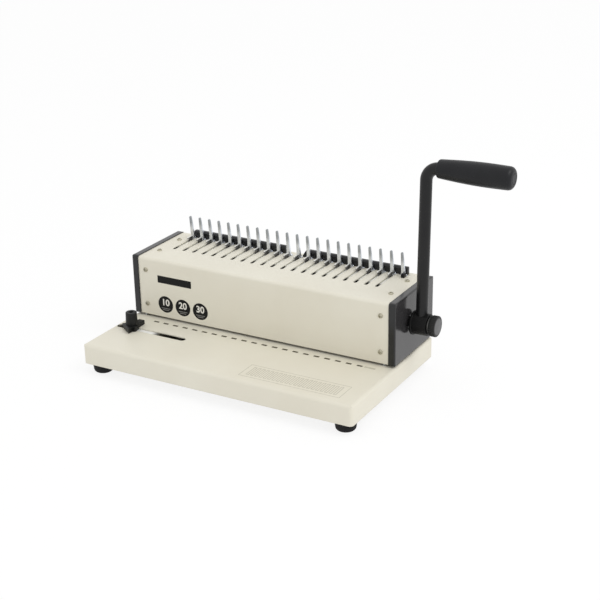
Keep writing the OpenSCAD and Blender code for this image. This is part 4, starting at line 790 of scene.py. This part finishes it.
@dataclass
class Lever:
    """Hub, bent rod, grip, washer and clamp knob on the right end of the shaft."""

    lean_deg: float = 1.9
    rise: float = 186.5
    rod_d: float = 14.0
    rod_seat: float = 6.3
    bend_r: float = 15.0
    bend_steps: int = 20
    rod_end_gap: float = 10.0
    hub_d: float = 26.0
    hub_flange_d: float = 29.0
    hub_flange_t: float = 3.0
    hub_round: float = 0.9
    grip_inner_d: float = 21.25
    grip_d: float = 27.0
    grip_outer_d: float = 26.0
    grip_round: float = 6.0
    grip_inner_round: float = 1.0
    grip_end_deg: float = 8.0
    grip_belly: float = 0.65
    grip_start: float = 0.02
    grip_steps: int = 30
    grip_disc_r: float = 6.2
    grip_groove: float = 0.5
    knob_d: float = 25.0
    knob_flutes: int = 36
    flute_steps: int = 6
    flute_depth: float = 0.55
    knob_rim: float = 2.6
    knob_round: float = 1.1
    knob_ease: float = 0.3
    knob_dish: float = 0.5
    face_round: float = 0.3
    face_rise: float = 0.05
    washer_round: float = 0.5

    def build(self) -> None:
        """Makes every piece of the lever."""
        self.make_hub()
        self.make_rod()
        self.make_grip()
        self.make_washer()
        self.make_knob()

    def along_shaft(self, lean: bool = True, rise: float = 0.0) -> Matrix:
        """Gives local axes with Z along the shaft and X down.

        Args:
            lean: Whether they lean back with the lever.
            rise: Height of the axis above the shaft, in millimetres.

        Returns:
            Matrix of the axes.
        """
        point = Vector(next(j["pos_m"] for j in frame["joints"] if j["name"] == "lever_turn"))
        tilt = Matrix.Rotation(radians(-self.lean_deg if lean else 0.0), 4, "X")
        turn = Matrix(((0, 0, 1, 0), (0, 1, 0, 0), (-1, 0, 0, rise * MM), (0, 0, 0, 1)))
        return Matrix.Translation((0.0, point.y, point.z)) @ tilt @ turn

    def make_hub(self) -> None:
        """Makes the turned hub with its flange towards the cap."""
        low, high = (corner.x for corner in box_mm("lever_hub"))
        r, rim, soft = self.hub_d / 2, self.hub_flange_d / 2, self.hub_round
        step = low + self.hub_flange_t
        profile = [(0.0, low)] + arc((rim - soft, low + soft), soft, -90, 0, steps=4)
        profile += arc((rim - soft, step - soft), soft, 0, 90, steps=4) + [(r, step)]
        profile += arc((r - soft, high - soft), soft, 0, 90, steps=5) + [(0.0, high)]
        bm = bmesh.new()
        lathe(bm, profile, self.along_shaft(), turns=72)
        place("lever_hub_turned", bm, HUB_ENAMEL, Body.LEVER, ["lever_hub"])

    def make_rod(self) -> None:
        """Makes the bent rod as one smooth sweep from the hub into the grip."""
        start, end = (corner.x for corner in box_mm("lever_grip"))
        bend, at = self.bend_r, self.along_shaft()
        line = [(start - bend, self.rod_seat)]
        line += arc((start, self.rise - bend), bend, 180, 90, self.bend_steps)
        line += [(end - self.rod_end_gap, self.rise)]
        bm = bmesh.new()
        tube(bm, [at @ Vector((-z * MM, 0.0, x * MM)) for x, z in line], self.rod_d / 2,
             (at.to_3x3() @ Vector((0, 1, 0))).normalized())
        place("lever_rod_bent", bm, BLACK_ENAMEL, Body.LEVER, ["lever_rod"])

    def grip_radius(self, share: float) -> float:
        """Gives the grip's radius at a share of its length.

        Args:
            share: 0 at the rod's end of the grip, 1 at its outer end.

        Returns:
            Radius in millimetres.
        """
        inner, full, outer = self.grip_inner_d / 2, self.grip_d / 2, self.grip_outer_d / 2
        if share < self.grip_belly:
            return inner + (full - inner) * sin(pi / 2 * share / self.grip_belly)
        past = (share - self.grip_belly) / (1 - self.grip_belly)
        return outer + (full - outer) * cos(pi / 2 * past)

    def make_grip(self) -> None:
        """Makes the swelling grip with a rounded end and a grooved disc on it."""
        low, high = (corner.x for corner in box_mm("lever_grip"))
        length, soft, first = high - low, self.grip_inner_round, self.grip_start
        last = (length - self.grip_round) / length
        shares = [first + (last - first) * k / self.grip_steps for k in range(self.grip_steps + 1)]
        profile = [(self.rod_d / 2, low)]
        profile += arc((self.grip_radius(0) - soft, low + soft), soft, -90, 0, steps=4)
        profile += [(self.grip_radius(t), low + t * length) for t in shares]
        edge = self.grip_radius(last) - self.grip_round
        profile += arc((edge, high - self.grip_round), self.grip_round, self.grip_end_deg, 90)
        disc, groove = self.grip_disc_r, self.grip_groove
        profile += [(disc + groove, high), (disc, high - groove), (disc - groove, high), (0.0, high)]
        bm = bmesh.new()
        lathe(bm, profile, self.along_shaft(rise=self.rise), turns=72)
        place("lever_grip_moulded", bm, GRIP_PLASTIC, Body.LEVER, ["lever_grip"], sharp=40.0)

    def make_washer(self) -> None:
        """Makes the turned washer between hub and knob."""
        low, high = box_mm("knob_washer")
        r, soft = (high.y - low.y) / 2, self.washer_round
        profile = [(0.0, low.x)] + arc((r - soft, low.x + soft), soft, -90, 0, steps=4)
        profile += arc((r - soft, high.x - soft), soft, 0, 90, steps=4) + [(0.0, high.x)]
        bm = bmesh.new()
        lathe(bm, profile, self.along_shaft(lean=False))
        place("knob_washer_turned", bm, WASHER_STEEL, Body.LEVER, ["knob_washer"])

    def make_knob(self) -> None:
        """Makes the fluted clamp knob and its turned face."""
        low, high = (corner.x for corner in box_mm("clamp_knob"))
        r, soft, ease = self.knob_d / 2, self.knob_round, self.knob_round * self.knob_ease
        face_r = r - self.knob_rim
        stations = [(face_r, low), (r - soft, low), (r, low + soft), (r, high - soft),
                    (r - ease, high - ease), (r - soft, high), (face_r, high)]
        at = self.along_shaft(lean=False)
        count = self.knob_flutes * self.flute_steps
        bm = bmesh.new()
        rings = []
        for radius, height in stations:
            depth = self.flute_depth * max(0.0, (radius - (r - soft)) / soft)
            ring = []
            for k in range(count):
                turn = 2 * pi * k / count
                here = radius - depth * (0.5 - 0.5 * cos(2 * pi * k / self.flute_steps))
                spot = Vector((here * cos(turn), here * sin(turn), height))
                ring.append(bm.verts.new(at @ (spot * MM)))
            rings.append(ring)
        skin(bm, rings)
        place("clamp_knob_fluted", bm, BLACK_ABS, Body.LEVER_KNOB, ["clamp_knob"])
        dish, top, bend = high - self.knob_dish, high + self.face_rise, self.face_round
        profile = [(0.0, dish), (face_r, dish)]
        profile += arc((face_r - bend, top - bend), bend, 0, 90, steps=3) + [(0.0, top)]
        bm = bmesh.new()
        lathe(bm, profile, at)
        place("clamp_knob_face", bm, KNOB_FACE_ABS, Body.LEVER_KNOB)


@dataclass
class EdgeGuide:
    """Paper edge guide: slider, clamp plate with its stud, and knob."""

    bar_x: Point = (-1.0, 7.0)
    bar_reach: float = 17.0
    nib_reach: float = 11.0
    nib_y: Point = (-8.8, -1.0)
    tail_reach: float = 12.0
    tail_y: Point = (-4.0, 8.0)
    slider_gap: float = 0.2
    slider_rim: float = 0.6
    dimple_r: float = 3.0
    dimple_h: float = 2.5
    dimple_lip: float = 0.3
    dimple_draft: float = 0.4
    knob_round: float = 1.0
    knob_taper: float = 0.5
    knob_draft_deg: float = 5.0

    def build(self) -> None:
        """Dresses the clamp plate and makes the moulded pieces."""
        dress(["guide_plate"], CLAMP_STEEL)
        self.make_slider()
        self.make_knob()

    def make_slider(self) -> None:
        """Makes the slider under the knob: a bar with a nib to the right and a slanted tail to the left."""
        low, high = box_mm("guide_knob")
        middle = (low + high) / 2
        (left, right), (front, rear), (tail, back) = self.bar_x, self.nib_y, self.tail_y
        reach, nib = self.bar_reach, self.nib_reach
        plan = [(right, -reach), (right, front), (nib, front), (nib, rear), (right, rear), (right, reach),
                (left, reach), (left, back), (-self.tail_reach, tail)]
        floor = box_mm("base_pan")[1].z + self.slider_gap
        depth = box_mm("guide_slider")[1].z - floor
        bm = bmesh.new()
        prism(bm, plan, depth, plane_at((middle.x, middle.y, floor), Flat.LEVEL), self.slider_rim)
        place("guide_slider_moulded", bm, BLACK_ABS, Body.GUIDE, ["guide_slider"])

    def make_knob(self) -> None:
        """Makes the tapered knob with a dimple in its top."""
        low, high = box_mm("guide_knob")
        r, soft, end = (high.x - low.x) / 2, self.knob_round, high.z
        dimple, lip, floor = self.dimple_r, self.dimple_lip, end - self.dimple_h
        profile = [(0.0, low.z), (r, low.z)]
        profile += arc((r - self.knob_taper - soft, end - soft), soft, self.knob_draft_deg, 90, steps=6)
        profile += [(dimple + lip, end), (dimple, end - lip), (dimple - self.dimple_draft, floor)]
        bm = bmesh.new()
        middle = (low + high) / 2 * MM
        lathe(bm, profile + [(0.0, floor)], Matrix.Translation((middle.x, middle.y, 0.0)), turns=48)
        place("guide_knob_moulded", bm, BLACK_ABS, Body.GUIDE_KNOB, ["guide_knob"])


def box_of(across: Point, along: Point) -> list[Point]:
    """Gives the corners of a rectangle between two places on each axis."""
    return [(across[0], along[0]), (across[1], along[0]), (across[1], along[1]), (across[0], along[1])]


def ruled_box(across: Point, along: Point, line: float) -> list[list[Point]]:
    """Gives the outlines of four lines of one width round a box between two places on each axis."""
    ends = [box_of(across, (y, y + line)) for y in (along[0], along[1] - line)]
    return ends + [box_of((x, x + line), (along[0] + line, along[1] - line))
                   for x in (across[0], across[1] - line)]


@dataclass
class Printing:
    """Screen-printed marks on the base and on the cover's front, each a thin film of ink."""

    film: float = 0.07
    dash_gap: float = 11.6
    dash_len: float = 7.2
    dash_w: float = 3.2
    end_dash: Point = (149.0, 163.0)
    bar_x: Point = (-146.0, -96.0)
    bar_up: Point = (45.5, 55.0)
    disc_xs: tuple[float, ...] = (-135.7, -109.9, -84.0)
    disc_up: float = 17.5
    disc_d: float = 22.0
    disc_sides: int = 48
    numerals: tuple[str, ...] = ("10", "20", "30")
    numeral_size: float = 12.0
    numeral_weight: float = 0.3
    numeral_lift: float = 2.2
    rules: tuple[Point, ...] = ((13.0, 5.4), (9.0, 7.6))
    rule_w: float = 1.0
    chart_x: Point = (30.0, 161.0)
    chart_y: Point = (13.0, 44.0)
    chart_line: float = 0.7
    chart_margin: float = 7.0
    chart_boxes: int = 21
    chart_box_w: float = 3.8
    chart_box_line: float = 0.9
    chart_box_up: Point = (0.16, 0.84)

    def build(self) -> None:
        """Prints the dashes, the chart, the bar and the three numbered discs."""
        self.print_dashes()
        self.print_chart()
        self.print_front()

    def on_base(self) -> Matrix:
        """Gives axes on top of the base, from its front edge backwards."""
        low, high = box_mm("base_pan")
        return plane_at((0.0, low.y, high.z), Flat.LEVEL)

    def on_front(self, lift: float = 0.0) -> Matrix:
        """Gives axes on the cover's front, from its lower edge upwards, lifted in millimetres."""
        low = box_mm("cover")[0]
        return plane_at((0.0, low.y - lift, low.z), Flat.FRONT)

    def print_film(self, name: str, ink: Finish, marks: Iterable[Sequence[Point]], at: Matrix) -> None:
        """Prints marks as one thin film of ink.

        Args:
            name: Name of the piece.
            ink: Ink of the marks.
            marks: Outline of each mark, in millimetres.
            at: Axes of the face that takes them.
        """
        bm = bmesh.new()
        for mark in marks:
            prism(bm, mark, self.film, at)
        place(name, bm, ink, Body.MACHINE)

    def print_dashes(self) -> None:
        """Prints one dash for each hole, and a paler one at the right end."""
        half, wide = self.dash_len / 2, self.dash_w / 2
        y = box_mm("cover")[0].y - box_mm("base_pan")[0].y - self.dash_gap
        along = (y - wide, y + wide)
        spots = [(k - (RINGS - 1) / 2) * PITCH for k in range(RINGS)]
        dashes = [box_of((x - half, x + half), along) for x in spots]
        self.print_film("hole_dashes_printed", OLIVE_INK, dashes, self.on_base())
        self.print_film("end_dash_printed", GREY_INK, [box_of(self.end_dash, along)], self.on_base())

    def print_chart(self) -> None:
        """Prints a faint chart: a ruled frame round a row of upright boxes, one for each ring."""
        (x0, x1), (y0, y1), wide = self.chart_x, self.chart_y, self.chart_box_w
        low, high = (y0 + share * (y1 - y0) for share in self.chart_box_up)
        step = (x1 - x0 - 2 * self.chart_margin - wide) / (self.chart_boxes - 1)
        marks = ruled_box(self.chart_x, self.chart_y, self.chart_line)
        for k in range(self.chart_boxes):
            x = x0 + self.chart_margin + k * step
            marks += ruled_box((x, x + wide), (low, high), self.chart_box_line)
        self.print_film("chart_printed", GREY_INK, marks, self.on_base())

    def print_front(self) -> None:
        """Prints the plain bar and three black discs with a plain number and two rules on each."""
        marks = [box_of(self.bar_x, self.bar_up)]
        marks += [arc((x, self.disc_up), self.disc_d / 2, 0, 360, self.disc_sides)[:-1] for x in self.disc_xs]
        self.print_film("front_marks_printed", BLACK_INK, marks, self.on_front())
        bm = bmesh.new()
        for number, x in zip(self.numerals, self.disc_xs):
            self.add_numeral(bm, number, x)
        place("disc_numerals_printed", bm, WHITE_INK, Body.MACHINE)
        marks = []
        for x in self.disc_xs:
            for length, drop in self.rules:
                low = self.disc_up - drop - self.rule_w / 2
                marks.append(box_of((x - length / 2, x + length / 2), (low, low + self.rule_w)))
        self.print_film("disc_rules_printed", DIM_INK, marks, self.on_front(self.film))

    def add_numeral(self, bm: BMesh, numeral: str, x: float) -> None:
        """Adds one numeral in the middle of a disc, as a film on the disc's own.

        Args:
            bm: Mesh that takes the numeral.
            numeral: Figure to print.
            x: Place of the disc along the cover.
        """
        curve = bpy.data.curves.new("numeral", "FONT")
        curve.body = numeral
        curve.size = self.numeral_size * MM
        curve.offset = self.numeral_weight * MM
        curve.extrude = self.film / 2 * MM
        curve.align_x = "CENTER"
        curve.align_y = "CENTER"
        holder = put(curve)
        ready = holder.evaluated_get(bpy.context.evaluated_depsgraph_get())
        mesh = bpy.data.meshes.new_from_object(ready)
        at = self.on_front(self.film + self.film / 2)
        mesh.transform(at @ Matrix.Translation((x * MM, (self.disc_up + self.numeral_lift) * MM, 0.0)))
        bm.from_mesh(mesh)
        bpy.data.objects.remove(holder)
        bpy.data.meshes.remove(mesh)
        bpy.data.curves.remove(curve)


@dataclass
class Studio:
    """Pale floor, soft light and the camera at the photograph's angle."""

    white: str = "#FFFFFF"
    floor_m: float = 12.0
    floor_glow: float = 0.85
    sky: float = 0.86
    backdrop: float = 1.0
    key_watts: float = 13.0
    key_size_m: float = 1.0
    key_m: tuple[float, float, float] = (1.4, 0.0, 1.9)
    azimuth_deg: float = 29.854
    elevation_deg: float = 22.142
    roll_deg: float = 1.081
    focal_pixels: float = 1348.169
    eye_m: tuple[float, float, float] = (0.78857, -1.26936, 0.69790)

    def build(self) -> None:
        """Sets the stage, the light and the camera."""
        SCENE.view_settings.view_transform = "Standard"
        self.lay_floor()
        self.light_world()
        self.hang_key()
        self.aim_camera()

    def seen(self, add: Adder) -> bpy.types.Node:
        """Adds the test for rays that show the background itself.

        Args:
            add: Function that adds a node to the tree.

        Returns:
            Node that gives 1 for camera, glossy and transmission rays.
        """
        rays = add("ShaderNodeLightPath").outputs
        first = add("ShaderNodeMath", None, {0: rays["Is Camera Ray"], 1: rays["Is Glossy Ray"]},
                    operation="MAXIMUM")
        return add("ShaderNodeMath", None, {0: first, 1: rays["Is Transmission Ray"]}, operation="MAXIMUM")

    def lay_floor(self) -> None:
        """Lays a pale floor that keeps a faint shadow."""
        half, white = self.floor_m / 2, linear(self.white)
        mesh = bpy.data.meshes.new("studio_floor")
        mesh.from_pydata([(x, y, 0.0) for x, y in box_of((-half, half), (-half, half))], [], [(0, 1, 2, 3)])
        material = bpy.data.materials.new("white_paper_sweep")
        add = fresh_nodes(material)
        matt = add("ShaderNodeBsdfDiffuse", {"Color": white})
        glow = add("ShaderNodeEmission", {"Color": white, "Strength": self.backdrop})
        share = add("ShaderNodeMath", {1: self.floor_glow}, {0: self.seen(add)}, operation="MULTIPLY")
        mix = add("ShaderNodeMixShader", None, {0: share, 1: matt, 2: glow})
        add("ShaderNodeOutputMaterial", None, {"Surface": mix})
        mesh.materials.append(material)
        floor = put(mesh)

    def light_world(self) -> None:
        """Lights the object from all round, and shows white behind it."""
        world = bpy.data.worlds.new("studio_sky")
        SCENE.world = world
        add = fresh_nodes(world)
        light, back = (add("ShaderNodeBackground", {"Color": linear(self.white), "Strength": power})
                       for power in (self.sky, self.backdrop))
        mix = add("ShaderNodeMixShader", None, {0: self.seen(add), 1: light, 2: back})
        add("ShaderNodeOutputWorld", None, {"Surface": mix})

    def hang_key(self) -> None:
        """Hangs one large soft lamp to the right, above the machine."""
        lamp = bpy.data.lights.new("key_softbox", "AREA")
        lamp.energy = self.key_watts
        lamp.size = self.key_size_m
        key = put(lamp)
        key.location = self.key_m
        key.rotation_euler = (-key.location).to_track_quat("-Z", "Y").to_euler()

    def aim_camera(self) -> None:
        """Puts the camera where the photograph was taken from."""
        az, el, roll = (radians(a) for a in (self.azimuth_deg, self.elevation_deg, self.roll_deg))
        ahead = Vector((-sin(az) * cos(el), cos(az) * cos(el), -sin(el)))
        right = ahead.cross(Vector((0, 0, 1))).normalized()
        down = ahead.cross(right)
        level = cos(roll) * right + sin(roll) * down
        lower = cos(roll) * down - sin(roll) * right
        at = Matrix((level, -lower, -ahead)).transposed().to_4x4()
        at.translation = Vector(self.eye_m)
        data = bpy.data.cameras.new("photograph_camera")
        data.sensor_width = SENSOR_MM
        data.lens = self.focal_pixels * SENSOR_MM / IMAGE_PIXELS
        camera = put(data)
        camera.matrix_world = at
        SCENE.camera = camera


def write_sizes() -> None:
    bpy.context.view_layer.update()


def main() -> None:
    """Builds the sub-assemblies in order and sets the stage."""
    logging.basicConfig(level=logging.INFO, format="%(name)s: %(message)s")
    for unit in (BaseUnit(), BodyShell(), FingerRow(), PunchWorks(), Lever(), EdgeGuide(), Printing(),
                 Studio()):
        unit.build()
        LOG.info("finished %s", type(unit).__name__)
    write_sizes()


if __name__ == "__main__":
    main()
